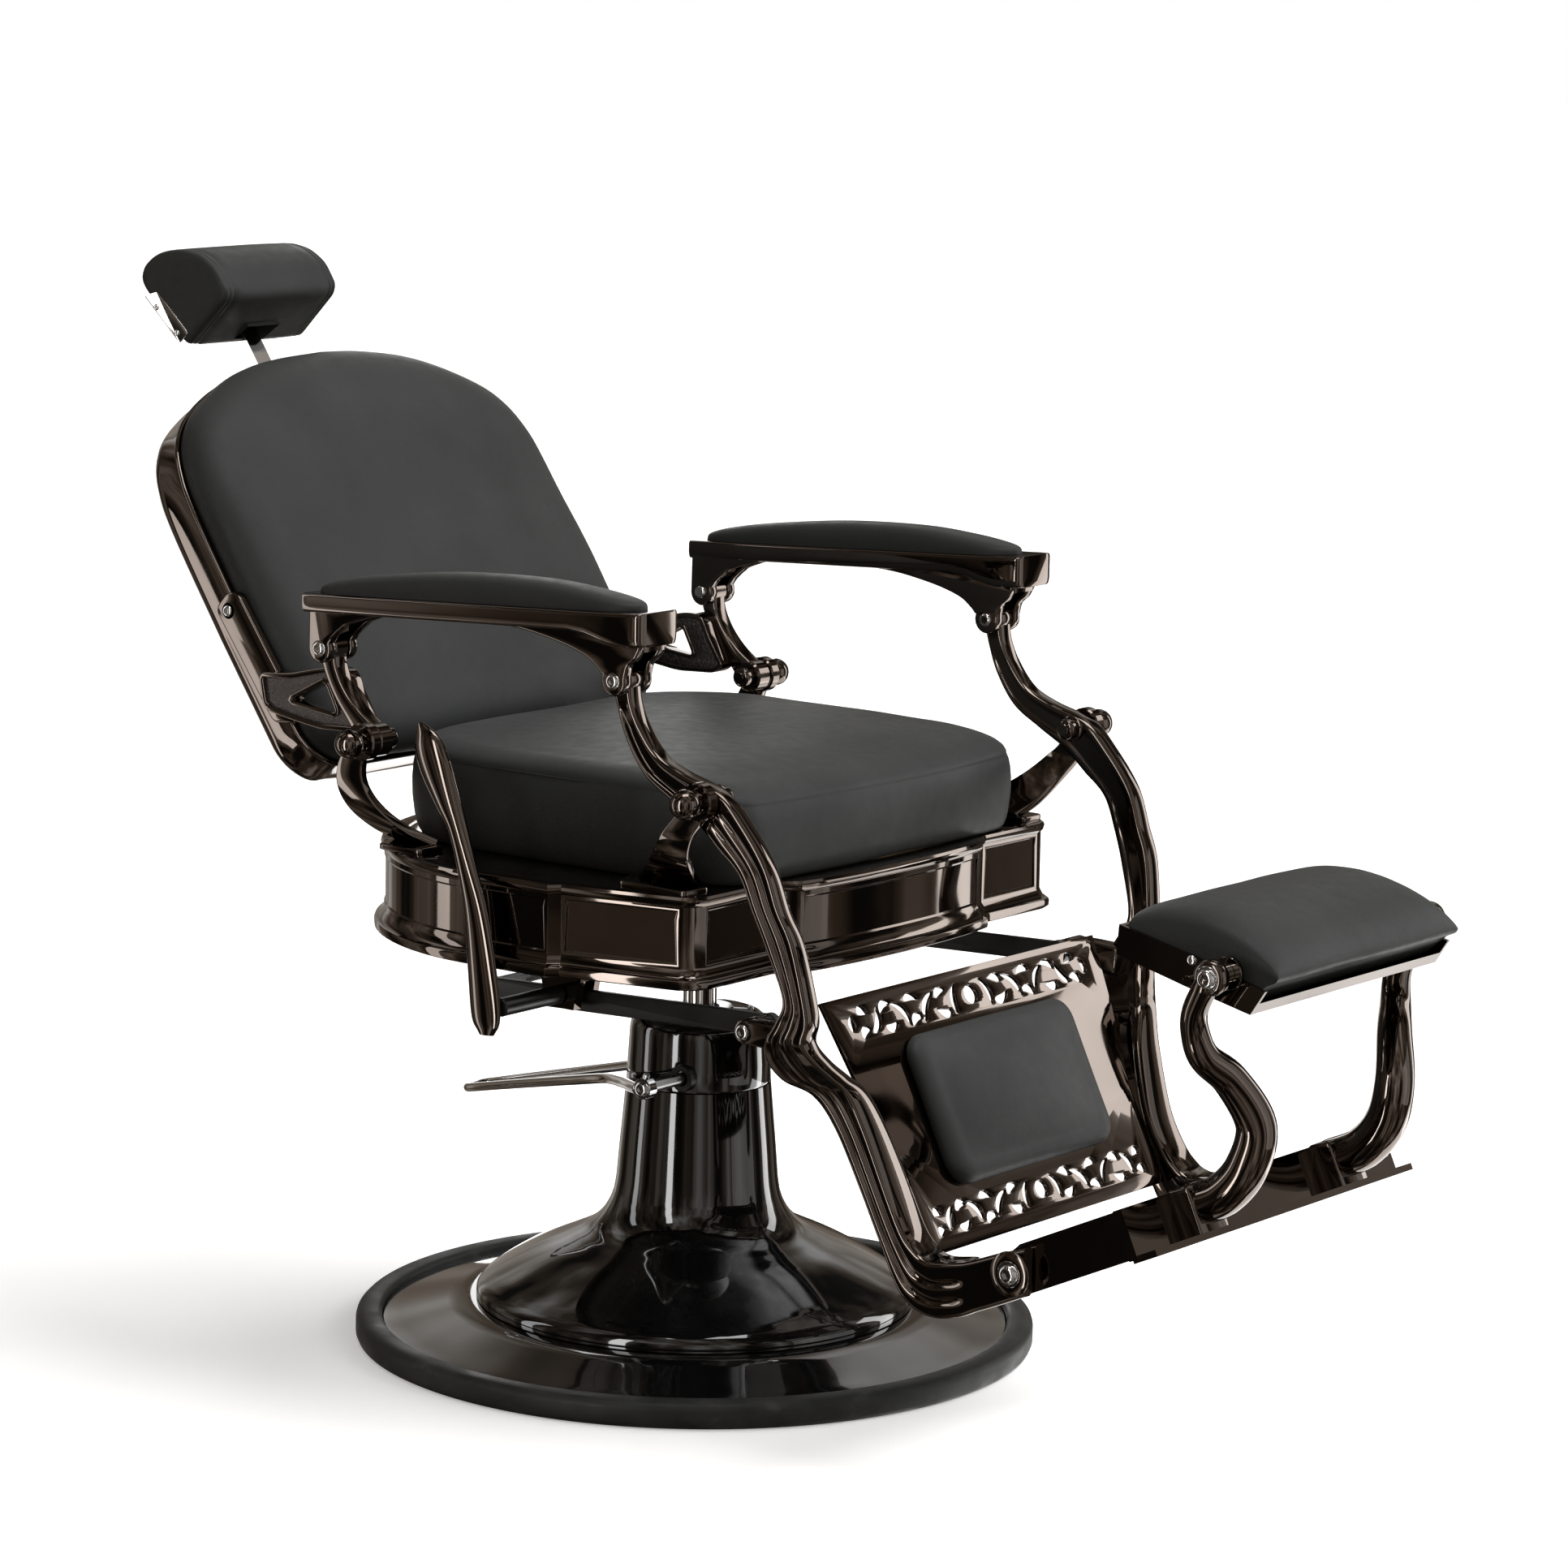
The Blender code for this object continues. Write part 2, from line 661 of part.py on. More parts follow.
def recline_lever():
    """Handle blade with a leaf-shaped grip, its tube and the clamp screw beside the drag bar."""
    side, inner, outer = -1, 0.3425, 0.3515
    line = [(0.0180, 0.3740), (0.0170, 0.3870), (0.0130, 0.4300), (0.0040, 0.4860), (-0.0080, 0.5300)]
    widths = [0.026, 0.037, 0.034, 0.027, 0.022]
    line += [(-0.0200, 0.5670), (-0.0330, 0.5920), (-0.0490, 0.6230), (-0.0600, 0.6450), (-0.0680, 0.6610)]
    widths += [0.020, 0.027, 0.034, 0.028, 0.008]
    tube = cross_rod(LEVER_HUB, side, 0.2570, 0.3450, 0.0090)
    screw = cross_rod(LEVER_HUB, side, 0.2425, 0.2700, 0.0045)
    pad = cross_rod(LEVER_HUB, side, 0.2397, 0.2443, 0.0105)
    blade = plate(band(line, widths), side, inner, outer)
    piece("recline_lever", "recline_lever", CHROME, blade, joined=[tube, screw, pad])


# ---------------------------------------------------------------- back


def on_back(mesh):
    return moved(mesh, TO_CHAIR)


def back_plan():
    """Outline of the back in (y, u), anticlockwise: straight sides under a round-shouldered arch."""
    half = [(0, 0.026), (0.180, 0.026)]
    half += arc((0.2080, 0.0760), 0.050, 290, 360, 4)
    half += [(0.2588, 0.200), (0.2560, 0.324), (0.2480, 0.372), (0.2330, 0.404)]
    half += [(0.2080, 0.4290), (0.1650, 0.4530), (0.1150, 0.4700), (0.0600, 0.4790), (0, 0.4820)]
    return half + [(-y, u) for y, u in reversed(half[1:-1])]


TRAY_BACK, TRAY_FLOOR, TRAY_RIM = -0.1680, -0.1635, -0.1220
TRAY_WALL = 0.004


def back_tray():
    plan = back_plan()
    outside = [(TRAY_BACK, -0.006), (TRAY_BACK + 0.008, 0), (TRAY_RIM, 0)]
    inside = [(TRAY_FLOOR, -TRAY_WALL - 0.003), (TRAY_BACK + 0.012, -TRAY_WALL), (-0.1, -TRAY_WALL)]
    shell = on_back(stack(plan, outside))
    piece("back_tray", "back", BLACK_CHROME, shell, cut=[on_back(stack(plan, inside))])


def back_cushion():
    inset = -TRAY_WALL - GAP
    levels = [(TRAY_FLOOR + GAP, inset - 0.004), (-0.154, inset), (-0.1000, inset), (-0.0780, -0.016)]
    crown = [(-0.0600, 0.84), (-0.0520, 0.58)]
    piece("back_cushion", "back", LEATHER, on_back(stack(back_plan(), levels, crown)))


def back_brackets():
    """Side castings: a plate on the tray, a web with a window, and a strap with two hinge eyes."""
    foot = [(-0.336, 0.623), (-0.302, 0.626), (-0.3085, 0.6465), (-0.385, 0.7485), (-0.400, 0.7475)]
    foot.append((-0.416, 0.730))
    web = [(-0.330, 0.640), (-0.305, 0.634), (-0.210, 0.630), (-0.195, 0.634), (-0.214, 0.672)]
    web += [(-0.222, 0.690), (-0.243, 0.692), (-0.262, 0.688), (-0.300, 0.679), (-0.340, 0.672)]
    window = [(-0.297, 0.652), (-0.232, 0.646), (-0.249, 0.675)]
    line = [ARMREST_REAR, (-0.2270, 0.6950), (-0.2150, 0.6720), (-0.1960, 0.6500), BACK_HINGE]
    widths = [0.022, 0.018, 0.017, 0.019, 0.030]
    for word, side in SIDES:
        joined = [
            plate(web, side, 0.2680, 0.2880, [window]),
            plate(band(line, widths), side, ARM_INNER + 0.0002, ARM_OUTER - 0.0005),
            cross_rod(ARMREST_REAR, side, ARM_INNER + 0.0005, ARM_OUTER - 0.0008, 0.0125),
            cross_rod(BACK_HINGE, side, ARM_INNER, ARM_OUTER, 0.0165),
        ]
        cut = [
            cross_rod(ARMREST_REAR, side, 0.27, 0.32, 0.0047),
            cross_rod(BACK_HINGE, side, 0.26, 0.32, 0.0074),
        ]
        base = plate(foot, side, 0.2592, 0.2700)
        piece(f"{word}_back_bracket", "back", BLACK_CHROME, base, joined=joined, cut=cut)


# ---------------------------------------------------------------- head rest


def back_box(y, u_low, u_high, n_low, n_high):
    return on_back(box((-y, u_low, n_low), (y, u_high, n_high)))


def headrest_sleeve():
    """Box clamp on the tray's rear that the post slides in."""
    outer = back_box(0.019, 0.360, 0.440, -0.1850, TRAY_BACK - GAP)
    inner = back_box(POST_HALF_WIDTH + 0.0005, 0.3, 0.5, -0.1771, -0.1709)
    thread = on_back(rod((0, KNOB_U, POST_N), (0, KNOB_U, -0.1900), 0.0042))
    piece("headrest_sleeve", "back", BLACK_CHROME, outer, cut=[inner, thread])


def headrest_knob():
    stem = on_back(rod((0, KNOB_U, -0.1800), (0, KNOB_U, -0.1990), 0.0035))
    grip = on_back(rod((0, KNOB_U, -0.1940), (0, KNOB_U, -0.2130), 0.0170, 16, end_radius=0.0145))
    piece("headrest_knob", "headrest_knob", BLACK_PLASTIC, stem, joined=[grip])


def headrest_post():
    bar = back_box(
        POST_HALF_WIDTH, 0.180, TILT_U, POST_N - POST_HALF_THICK, POST_N + POST_HALF_THICK
    )
    knuckle = on_back(rod((-0.011, TILT_U, POST_N), (0.011, TILT_U, POST_N), 0.0080))
    hole = on_back(rod((-0.02, TILT_U, POST_N), (0.02, TILT_U, POST_N), 0.0046))
    piece("headrest_post", "headrest_post", CHROME, bar, joined=[knuckle], cut=[hole])


def headrest_profile():
    """Side view of the head cushion in (u, n), from its lower tip round the front."""
    front = [(0.5440, -0.1850), (0.5560, -0.1120), (0.5630, -0.1035), (0.5910, -0.1030), (0.6150, -0.1140)]
    top = [(0.6330, -0.1320), (0.6450, -0.1530), (0.6510, -0.1720), (0.6500, -0.1930), (0.6420, -0.2045)]
    return front + top + [(0.6290, -0.2055), (0.6020, -0.1980)]


HEAD_HALF = 0.087


def headrest_cushion():
    """Half-round bolster with a slot in its back for the post and the hinge lugs."""
    profile = [Vector((u, n)) for u, n in headrest_profile()]
    middle = sum(profile, Vector((0, 0))) / len(profile)
    sections = []
    full = HEAD_HALF - 0.007
    for y, scale in ((-HEAD_HALF, 0.90), (-full, 1.0), (full, 1.0), (HEAD_HALF, 0.90)):
        ring = [middle + (point - middle) * scale for point in profile]
        sections.append([(y, u, n) for u, n in ring])
    slot = back_box(0.0240, 0.50, 0.6040, -0.26, -0.1500)
    piece("headrest_cushion", "headrest", LEATHER, on_back(loft(sections)), cut=[slot])


def headrest_plate():
    """Plate behind the head cushion with the two hinge lugs and the hinge pin."""
    rear = [(0.5520, -0.1890), (0.6420, -0.2110), (0.6415, -0.2145), (0.5510, -0.1925)]
    sheet = on_back(loft([[(y, u, n) for u, n in rear] for y in (-0.060, 0.060)]))
    lugs = []
    for side in (-1, 1):
        low, high = sorted((side * 0.0140, side * 0.0190))
        lug = [(0.5740, -0.1960), (0.5960, -0.2010), (0.5950, -0.1660), (0.5750, -0.1640)]
        lugs.append(on_back(loft([[(y, u, n) for u, n in lug] for y in (low, high)])))
    pin = on_back(rod((-0.0165, TILT_U, POST_N), (0.0165, TILT_U, POST_N), 0.0040))
    piece("headrest_plate", "headrest", CHROME, sheet, joined=[*lugs, pin])


# ---------------------------------------------------------------- arm rests


def cap_height(x):
    """Top of the arm rest's rail, which rises towards the front."""
    return 0.768 + (x + 0.2445) * 0.022 / 0.4245


def armrest_frames():
    """Rail on two cheeks that straddle the back's eye behind and the leg arm's eye in front."""
    lobe_rear = arc(ARMREST_REAR, 0.0145, 180, 390, 7)
    arch = [(-0.209, 0.7290), (-0.188, 0.7430), (-0.144, 0.7550), (-0.067, 0.7610), (0.013, 0.7610)]
    arch += [(0.071, 0.7520), (0.108, 0.7440), (0.127, 0.7310)]
    lobe_front = arc(ARMREST_FRONT, 0.0145, 160, 375, 7)
    nose = [(0.1660, 0.7400), (0.1820, 0.7500), (0.1850, 0.7820)]
    side_view = lobe_rear + arch + lobe_front + nose + [(-0.2445, 0.7640)]
    web = [(-0.2440, 0.7440), (-0.188, 0.7510), (-0.144, 0.7580), (-0.067, 0.7640), (0.013, 0.7640)]
    web += [(0.071, 0.7550), (0.115, 0.7490), (0.1840, 0.7500), (0.1840, 0.7800), (-0.2440, 0.7620)]
    rail = [(-0.2450, 0.2750, 0.3225), (-0.1000, 0.2720, 0.3270), (0.1200, 0.2700, 0.3320)]
    rail += [(0.1760, 0.2700, 0.3320), (0.1880, 0.2780, 0.3240)]
    for word, side in SIDES:
        sections = []
        for x, inner, outer in rail:
            top = cap_height(x)
            low = top - 0.018
            corners = [(inner, low), (outer, low), (outer, top - 0.004), (outer - 0.004, top)]
            corners += [(inner + 0.004, top), (inner, top - 0.004)]
            sections.append([(x, side * reach, z) for reach, z in corners])
        joined = [
            plate(side_view, side, 0.2755, ARM_INNER - 0.0005),
            plate(side_view, side, EYE_INNER, 0.3165),
            plate(web, side, 0.2800, 0.3120),
        ]
        cut = [cross_rod(pin, side, 0.26, 0.34, 0.0047) for pin in (ARMREST_FRONT, ARMREST_REAR)]
        rest = f"{word}_armrest"
        piece(f"{rest}_frame", rest, BLACK_CHROME, loft(sections), joined=joined, cut=cut)


def armrest_pads():
    crown = [(-0.2360, 0.006), (-0.2050, 0.014), (-0.1470, 0.0205), (-0.0530, 0.026), (0.0430, 0.0250)]
    crown += [(0.1050, 0.0185), (0.1480, 0.0105), (0.1660, 0.0050)]
    for word, side in SIDES:
        sections = []
        for x, rise in crown:
            low = cap_height(x) + GAP
            narrow = 0.008 if x in (crown[0][0], crown[-1][0]) else 0.0
            inner, outer = 0.2765 + narrow, 0.3235 - narrow
            corners = [(inner, low), (outer, low), (outer, low + rise * 0.45), (outer - 0.010, low + rise)]
            corners += [(inner + 0.010, low + rise), (inner, low + rise * 0.45)]
            sections.append([(x, side * reach, z) for reach, z in corners])
        piece(f"{word}_armrest_pad", f"{word}_armrest", LEATHER, loft(sections))


def armrest_pins():
    for name, hinge in (("front", ARMREST_FRONT), ("rear", ARMREST_REAR)):
        for word, side in SIDES:
            shank = cross_rod(hinge, side, 0.2725, 0.3195, 0.0040)
            heads = [
                cross_rod(hinge, side, 0.2715, 0.2751, 0.0080),
                cross_rod(hinge, side, 0.3169, 0.3205, 0.0080),
            ]
            piece(f"{word}_{name}_armrest_pin", f"{word}_armrest", CHROME, shank, joined=heads)


# ---------------------------------------------------------------- leg frame

# Rear edge (x, z), front edge (x, z), outer and inner reach, down the arm
LEG_ARM_ROWS = [
    (0.1340, 0.7190, 0.1560, 0.7210, 0.3060, 0.2860),
    (0.1400, 0.6950, 0.1590, 0.7010, 0.3060, 0.2860),
    (0.1520, 0.6650, 0.1700, 0.6790, 0.3060, 0.2860),
    (0.1740, 0.6350, 0.1900, 0.6560, 0.3060, 0.2860),
    (0.2060, 0.6150, 0.2180, 0.6430, 0.3060, 0.2860),
    (0.2380, 0.5970, 0.2640, 0.6290, 0.3060, 0.2860),
    (0.2630, 0.5760, 0.2930, 0.6030, 0.3060, 0.2860),
    (0.2880, 0.5550, 0.3220, 0.5660, 0.3060, 0.2860),
    (0.3030, 0.5230, 0.3370, 0.5280, 0.3045, 0.2840),
    (0.3170, 0.4880, 0.3510, 0.4960, 0.3000, 0.2790),
    (0.3320, 0.4420, 0.3610, 0.4400, 0.2930, 0.2710),
    (0.3220, 0.4180, 0.3620, 0.4200, 0.2910, 0.2680),
    (0.3110, 0.4000, 0.3570, 0.4010, 0.2900, 0.2650),
    (0.3040, 0.3790, 0.3650, 0.3830, 0.2800, 0.2530),
    (0.3140, 0.3580, 0.3750, 0.3680, 0.2670, 0.2380),
    (0.3410, 0.3450, 0.3850, 0.3530, 0.2550, 0.2240),
    (0.3600, 0.3150, 0.3970, 0.3190, 0.2450, 0.2090),
    (0.3820, 0.2640, 0.4180, 0.2610, 0.2370, 0.1970),
    (0.4060, 0.2180, 0.4370, 0.2260, 0.2370, 0.1970),
    (0.4290, 0.1750, 0.4520, 0.2110, 0.2370, 0.1970),
    (0.4490, 0.1570, 0.4620, 0.2060, 0.2370, 0.1970),
    (0.4740, 0.1520, 0.4740, 0.2050, 0.2370, 0.1970),
    (0.5020, 0.1580, 0.5000, 0.2100, 0.2370, 0.2000),
    (0.5220, 0.1670, 0.5180, 0.2160, 0.2370, 0.2225),
    (0.5430, 0.1760, 0.5410, 0.2250, 0.2370, 0.2225),
    (0.5760, 0.1910, 0.5750, 0.2370, 0.2370, 0.2225),
]


def leg_arms():
    """Long side arms from the arm rest, over the leg hinge and the elbow, down to the footrest."""
    lug = band([(0.3350, 0.3960), (0.3050, 0.3990), DRAG_PIN], [0.026, 0.024, 0.022])
    for word, side in SIDES:
        sections = []
        for rear_x, rear_z, front_x, front_z, outer, inner in LEG_ARM_ROWS:
            near, far = side * outer, side * inner
            sections.append(
                [(rear_x, near, rear_z), (front_x, near, front_z)]
                + [(front_x, far, front_z), (rear_x, far, rear_z)]
            )
        joined = [
            cross_rod(ARMREST_FRONT, side, ARM_INNER, ARM_OUTER, 0.0130),
            plate(lug, side, 0.2500, 0.2760),
            cross_rod(DRAG_PIN, side, 0.2395, 0.2760, 0.0115),
        ]
        cut = [
            cross_rod(ARMREST_FRONT, side, 0.27, 0.32, 0.0056),
            cross_rod(LEG_HINGE, side, 0.27, 0.32, 0.0074),
            cross_rod(DRAG_PIN, side, 0.22, 0.29, 0.0045),
            cross_rod(FOOT_HINGE, side, 0.19, 0.25, 0.0064),
        ]
        piece(f"{word}_leg_arm", "leg_frame", BLACK_CHROME, loft(sections), joined=joined, cut=cut)


def panel_matrix():
    """From the calf panel's own frame (-y, down, out) to the chair's, at its top edge."""
    down = Vector((math.sin(PANEL_ANGLE), 0, -math.cos(PANEL_ANGLE)))
    out = Vector((math.cos(PANEL_ANGLE), 0, math.sin(PANEL_ANGLE)))
    turn = Matrix((Vector((0, -1, 0)), down, out)).transposed().to_4x4()
    return Matrix.Translation((0.3230, 0, 0.4255)) @ turn


def lattice_panel():
    """Calf panel between the arms, with the long windows above and below the pad."""
    length, thick = 0.2570, 0.004
    edge = [(-0.2230, 0), (0.2230, 0), (0.2120, 0.075), (0.1940, 0.150), (0.1940, length)]
    edge += [(-0.1940, length), (-0.1940, 0.150), (-0.2120, 0.075)]
    flat = flat_curve([edge], thick, Matrix.Identity(4))
    piece("lattice_panel", "leg_frame", BLACK_CHROME, moved(flat, panel_matrix()))


def calf_pad():
    corner = 0.020
    low, high, half = 0.0530, 0.2010, 0.130
    plan = []
    for y, d, start in ((half, high, 0), (-half, high, 90), (-half, low, 180), (half, low, 270)):
        centre = (math.copysign(half - corner, y), d - corner if d == high else d + corner)
        plan += arc(centre, corner, start, start + 90, 3)
    levels = [(0.0020 + GAP, 0), (0.010, 0.0015), (0.0165, -0.004)]
    crown = [(0.0215, 0.84), (0.0240, 0.55)]
    piece("calf_pad", "leg_frame", LEATHER, moved(stack(plan, levels, crown), panel_matrix()))


def drag_link():
    """Two bars from the elbows back under the seat, with the yoke rod that joins them."""
    line = [DRAG_PIN, (0.200, 0.3969), (0.000, 0.3886), YOKE]
    for word, side in SIDES:
        bar = plate(band(line, [0.022, 0.022, 0.022, 0.020]), side, BAR_INNER, BAR_OUTER)
        eyes = [cross_rod(point, side, BAR_INNER, BAR_OUTER, 0.0120) for point in (DRAG_PIN, YOKE)]
        cut = [cross_rod(DRAG_PIN, side, 0.22, 0.25, 0.0045), cross_rod(YOKE, side, 0.22, 0.25, 0.0066)]
        piece(f"{word}_drag_bar", "drag_link", SATIN_BLACK, bar, joined=eyes, cut=cut)
        head = cross_rod(DRAG_PIN, side, 0.2265, 0.2306, 0.0085)
        shank = cross_rod(DRAG_PIN, side, 0.2270, 0.2785, 0.0040)
        nut = cross_rod(DRAG_PIN, side, 0.2764, 0.2800, 0.0080)
        piece(f"{word}_drag_pin", "leg_frame", CHROME, shank, joined=[head, nut])
    rod_mesh = rod((YOKE[0], -0.2440, YOKE[1]), (YOKE[0], 0.2440, YOKE[1]), 0.0062)
    collars = [cross_rod(YOKE, side, 0.2180, BAR_INNER - GAP, 0.0100) for _, side in SIDES]
    piece("yoke_bar", "drag_link", STEEL, rod_mesh, joined=collars)


# ---------------------------------------------------------------- footrest


def foot_point(along, up):
    """A point in the footrest frame's own slope, measured from its hinge."""
    cosine, sine = math.cos(FOOT_ANGLE), math.sin(FOOT_ANGLE)
    return (FOOT_HINGE[0] + along * cosine - up * sine, FOOT_HINGE[1] + along * sine + up * cosine)


FOOT_HALF = 0.2210


def footrest_frame():
    """U-shaped frame: a plate inside each leg arm and a bar with a foot ledge in front."""
    height = 0.023
    cheek = [foot_point(a, u) for a, u in ((0.002, -height), (0.128, -height), (0.128, height))]
    cheek += [foot_point(0.010, height), foot_point(-0.012, 0.016), foot_point(-0.014, -0.008)]
    bar_low, bar_high = -height - 0.001, height + 0.001
    bar_ends = ((0.122, bar_low), (0.132, bar_low), (0.132, bar_high), (0.122, bar_high))
    bar = [foot_point(a, u) for a, u in bar_ends]
    ledge_ends = ((0.1245, -0.027), (0.152, -0.027), (0.152, -0.0205), (0.1245, -0.0205))
    ledge = [foot_point(a, u) for a, u in ledge_ends]
    joined = [plate(cheek, side, 0.2130, FOOT_HALF) for _, side in SIDES]
    joined.append(plate(ledge, 1, -FOOT_HALF + 0.002, FOOT_HALF - 0.002))
    cut = [cross_rod(FOOT_HINGE, side, 0.19, 0.24, 0.0066) for _, side in SIDES]
    front = plate(bar, 1, -FOOT_HALF - 0.0005, FOOT_HALF + 0.0005)
    piece("footrest_frame", "footrest_frame", BLACK_CHROME, front, joined=joined, cut=cut)


def footrest_bolts():
    for word, side in SIDES:
        shank = cross_rod(FOOT_HINGE, side, 0.2080, 0.2390, 0.0060)
        heads = [
            cross_rod(FOOT_HINGE, side, 0.2374, 0.2430, 0.0110),
            cross_rod(FOOT_HINGE, side, 0.2070, 0.2126, 0.0100),
        ]
        piece(f"{word}_footrest_bolt", "leg_frame", CHROME, shank, joined=heads)


S_ARM_LINE = [
    (0.6830, 0.1200, 0.2740),
    (0.7130, 0.1198, 0.2900),
    (0.7370, 0.1192, 0.3200),
    (0.7450, 0.1190, 0.3600),
    (0.7300, 0.1400, 0.4020),
    (0.7160, 0.1630, 0.4250),
    (0.7110, 0.1720, 0.4480),
    (0.7150, 0.1800, 0.4700),
    (0.7290, 0.1860, 0.4950),
]
S_ARM_RADII = [0.0210, 0.0205, 0.0200, 0.0195, 0.0170, 0.0150, 0.0135, 0.0120, 0.0110]


def s_arms():
    """Swan-neck posts from the front bar up to the flip pad's hinge."""
    for word, side in SIDES:
        line = smooth([(x, side * reach, z) for x, reach, z in S_ARM_LINE], 2)
        radii = [r.x for r in smooth([(r, 0, 0) for r in S_ARM_RADII], 2)]
        boss = cross_rod(FLIP_HINGE, side, 0.1785, 0.1925, 0.0165)
        hole = cross_rod(FLIP_HINGE, side, 0.16, 0.21, 0.0056)
        piece(f"{word}_s_arm", "footrest_frame", BLACK_CHROME, sweep(line, radii), joined=[boss], cut=[hole])


def flip_pad():
    """Tray and pad that tip over about the posts' bosses, with a hinge bolt on each side."""
    outside = [(0.6140, 0.5050), (0.6900, 0.4860), (0.7600, 0.4700), (0.7750, 0.4930), (0.7000, 0.5140)]
    outside.append((0.6160, 0.5330))
    inside = [(0.6200, 0.5080), (0.6900, 0.4905), (0.7580, 0.4748), (0.7900, 0.4960), (0.7800, 0.5500)]
    inside.append((0.6200, 0.5600))
    tray = plate(outside, 1, -0.1590, 0.1590)
    hollow = plate(inside, 1, -0.1550, 0.1550)
    holes = [cross_rod(FLIP_HINGE, side, 0.14, 0.17, 0.0056) for _, side in SIDES]
    lug = [plate(arc(FLIP_HINGE, 0.0150, 0, 330, 11), side, 0.1565, 0.1600) for _, side in SIDES]
    piece("footrest_tray", "footrest_pad", BLACK_CHROME, tray, joined=lug, cut=[hollow, *holes])
    top = [(0.6205, 0.5350), (0.6215, 0.5440), (0.6560, 0.5530), (0.7010, 0.5540), (0.7530, 0.5400)]
    top += [(0.7960, 0.5130), (0.7945, 0.5040), (0.7770, 0.5010)]
    under = [(0.7500, 0.4775), (0.6900, 0.4912), (0.6206, 0.5086)]
    sections = []
    for reach, shrink in ((-0.1540, 0.90), (-0.1440, 1.0), (0.1440, 1.0), (0.1540, 0.90)):
        lifted = [(x, 0.5080 + (z - 0.5080) * shrink if z > 0.5080 else z) for x, z in top + under]
        sections.append([(x, reach, z) for x, z in lifted])
    clear = [cross_rod(FLIP_HINGE, side, 0.1380, 0.17, 0.0110) for _, side in SIDES]
    piece("footrest_pad", "footrest_pad", LEATHER, loft(sections), cut=clear)
    for word, side in SIDES:
        shank = cross_rod(FLIP_HINGE, side, 0.1500, 0.1960, 0.0050)
        heads = [
            cross_rod(FLIP_HINGE, side, 0.1929, 0.1990, 0.0110),
            cross_rod(FLIP_HINGE, side, 0.1604, 0.1781, 0.0085),
            cross_rod(FLIP_HINGE, side, 0.1490, 0.1546, 0.0090),
        ]
        piece(f"{word}_flip_bolt", "footrest_pad", CHROME, shank, joined=heads)


base_plate()
base_ring()
pedestal_shroud()
pedestal_sleeve()
pump_cylinder()
pump_plunger()
pump_shaft()
pump_lever()
piston()
seat_hub()
seat_plate()
seat_frame()
seat_board()
seat_cushion()
seat_brackets()
hinge_balls()
clamp_brackets()
recline_lever()
back_tray()
back_cushion()
back_brackets()
headrest_sleeve()
headrest_knob()
headrest_post()
headrest_cushion()
headrest_plate()
armrest_frames()
armrest_pads()
armrest_pins()
leg_arms()
lattice_panel()
calf_pad()
drag_link()
footrest_frame()
footrest_bolts()
s_arms()
flip_pad()
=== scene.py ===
"""Looks for the hydraulic barber chair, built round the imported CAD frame.

Metres, +X the way the sitter faces, +Y the sitter's left, +Z up. Side profiles are lists of
(x, z), plans are lists of (x, y), and a reach is a distance from the middle plane. A shell is
a pair (points, faces), and one piece can hold several closed shells.
"""

import json
import math

import bmesh
import bpy
from mathutils import Matrix, Vector, noise


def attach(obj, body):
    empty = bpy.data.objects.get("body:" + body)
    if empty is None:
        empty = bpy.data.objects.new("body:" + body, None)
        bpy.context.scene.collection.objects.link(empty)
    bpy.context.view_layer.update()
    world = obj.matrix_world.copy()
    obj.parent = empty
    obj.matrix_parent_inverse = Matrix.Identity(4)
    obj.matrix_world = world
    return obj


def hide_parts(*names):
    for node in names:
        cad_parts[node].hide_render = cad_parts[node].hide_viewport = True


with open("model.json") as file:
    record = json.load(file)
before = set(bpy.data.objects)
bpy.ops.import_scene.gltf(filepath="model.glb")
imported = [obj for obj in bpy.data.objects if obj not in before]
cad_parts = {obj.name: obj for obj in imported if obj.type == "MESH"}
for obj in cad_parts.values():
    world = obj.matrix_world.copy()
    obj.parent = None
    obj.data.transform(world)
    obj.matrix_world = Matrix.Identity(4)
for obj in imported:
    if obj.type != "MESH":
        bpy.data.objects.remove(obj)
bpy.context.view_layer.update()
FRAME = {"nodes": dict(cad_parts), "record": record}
NODES = FRAME["nodes"]
NOISE_SEED = 1
noise.seed_set(NOISE_SEED)
SIDES = (("right", -1), ("left", 1))
FLAT = Matrix.Identity(4)
AXIS = 0.0001

# Hinge lines that run across the chair, as (x, z)
ARMREST_FRONT = (0.145, 0.722)
ARMREST_REAR = (-0.23, 0.714)
LEG_HINGE = (0.248, 0.62)
BACK_HINGE = (-0.173, 0.628)
DRAG_PIN = (0.275, 0.4)
LEVER_HUB = (0.032, 0.398)
YOKE = (-0.085, 0.385)
FOOT_HINGE = (0.56, 0.2105)
FLIP_HINGE = (0.735, 0.5045)
PUMP_SHAFT = (0.033, 0.282)

BACK_ANGLE = math.radians(35)
PANEL_ANGLE = math.radians(26.7)
FOOT_ANGLE = math.radians(25)


# ---------------------------------------------------------------- camera and light

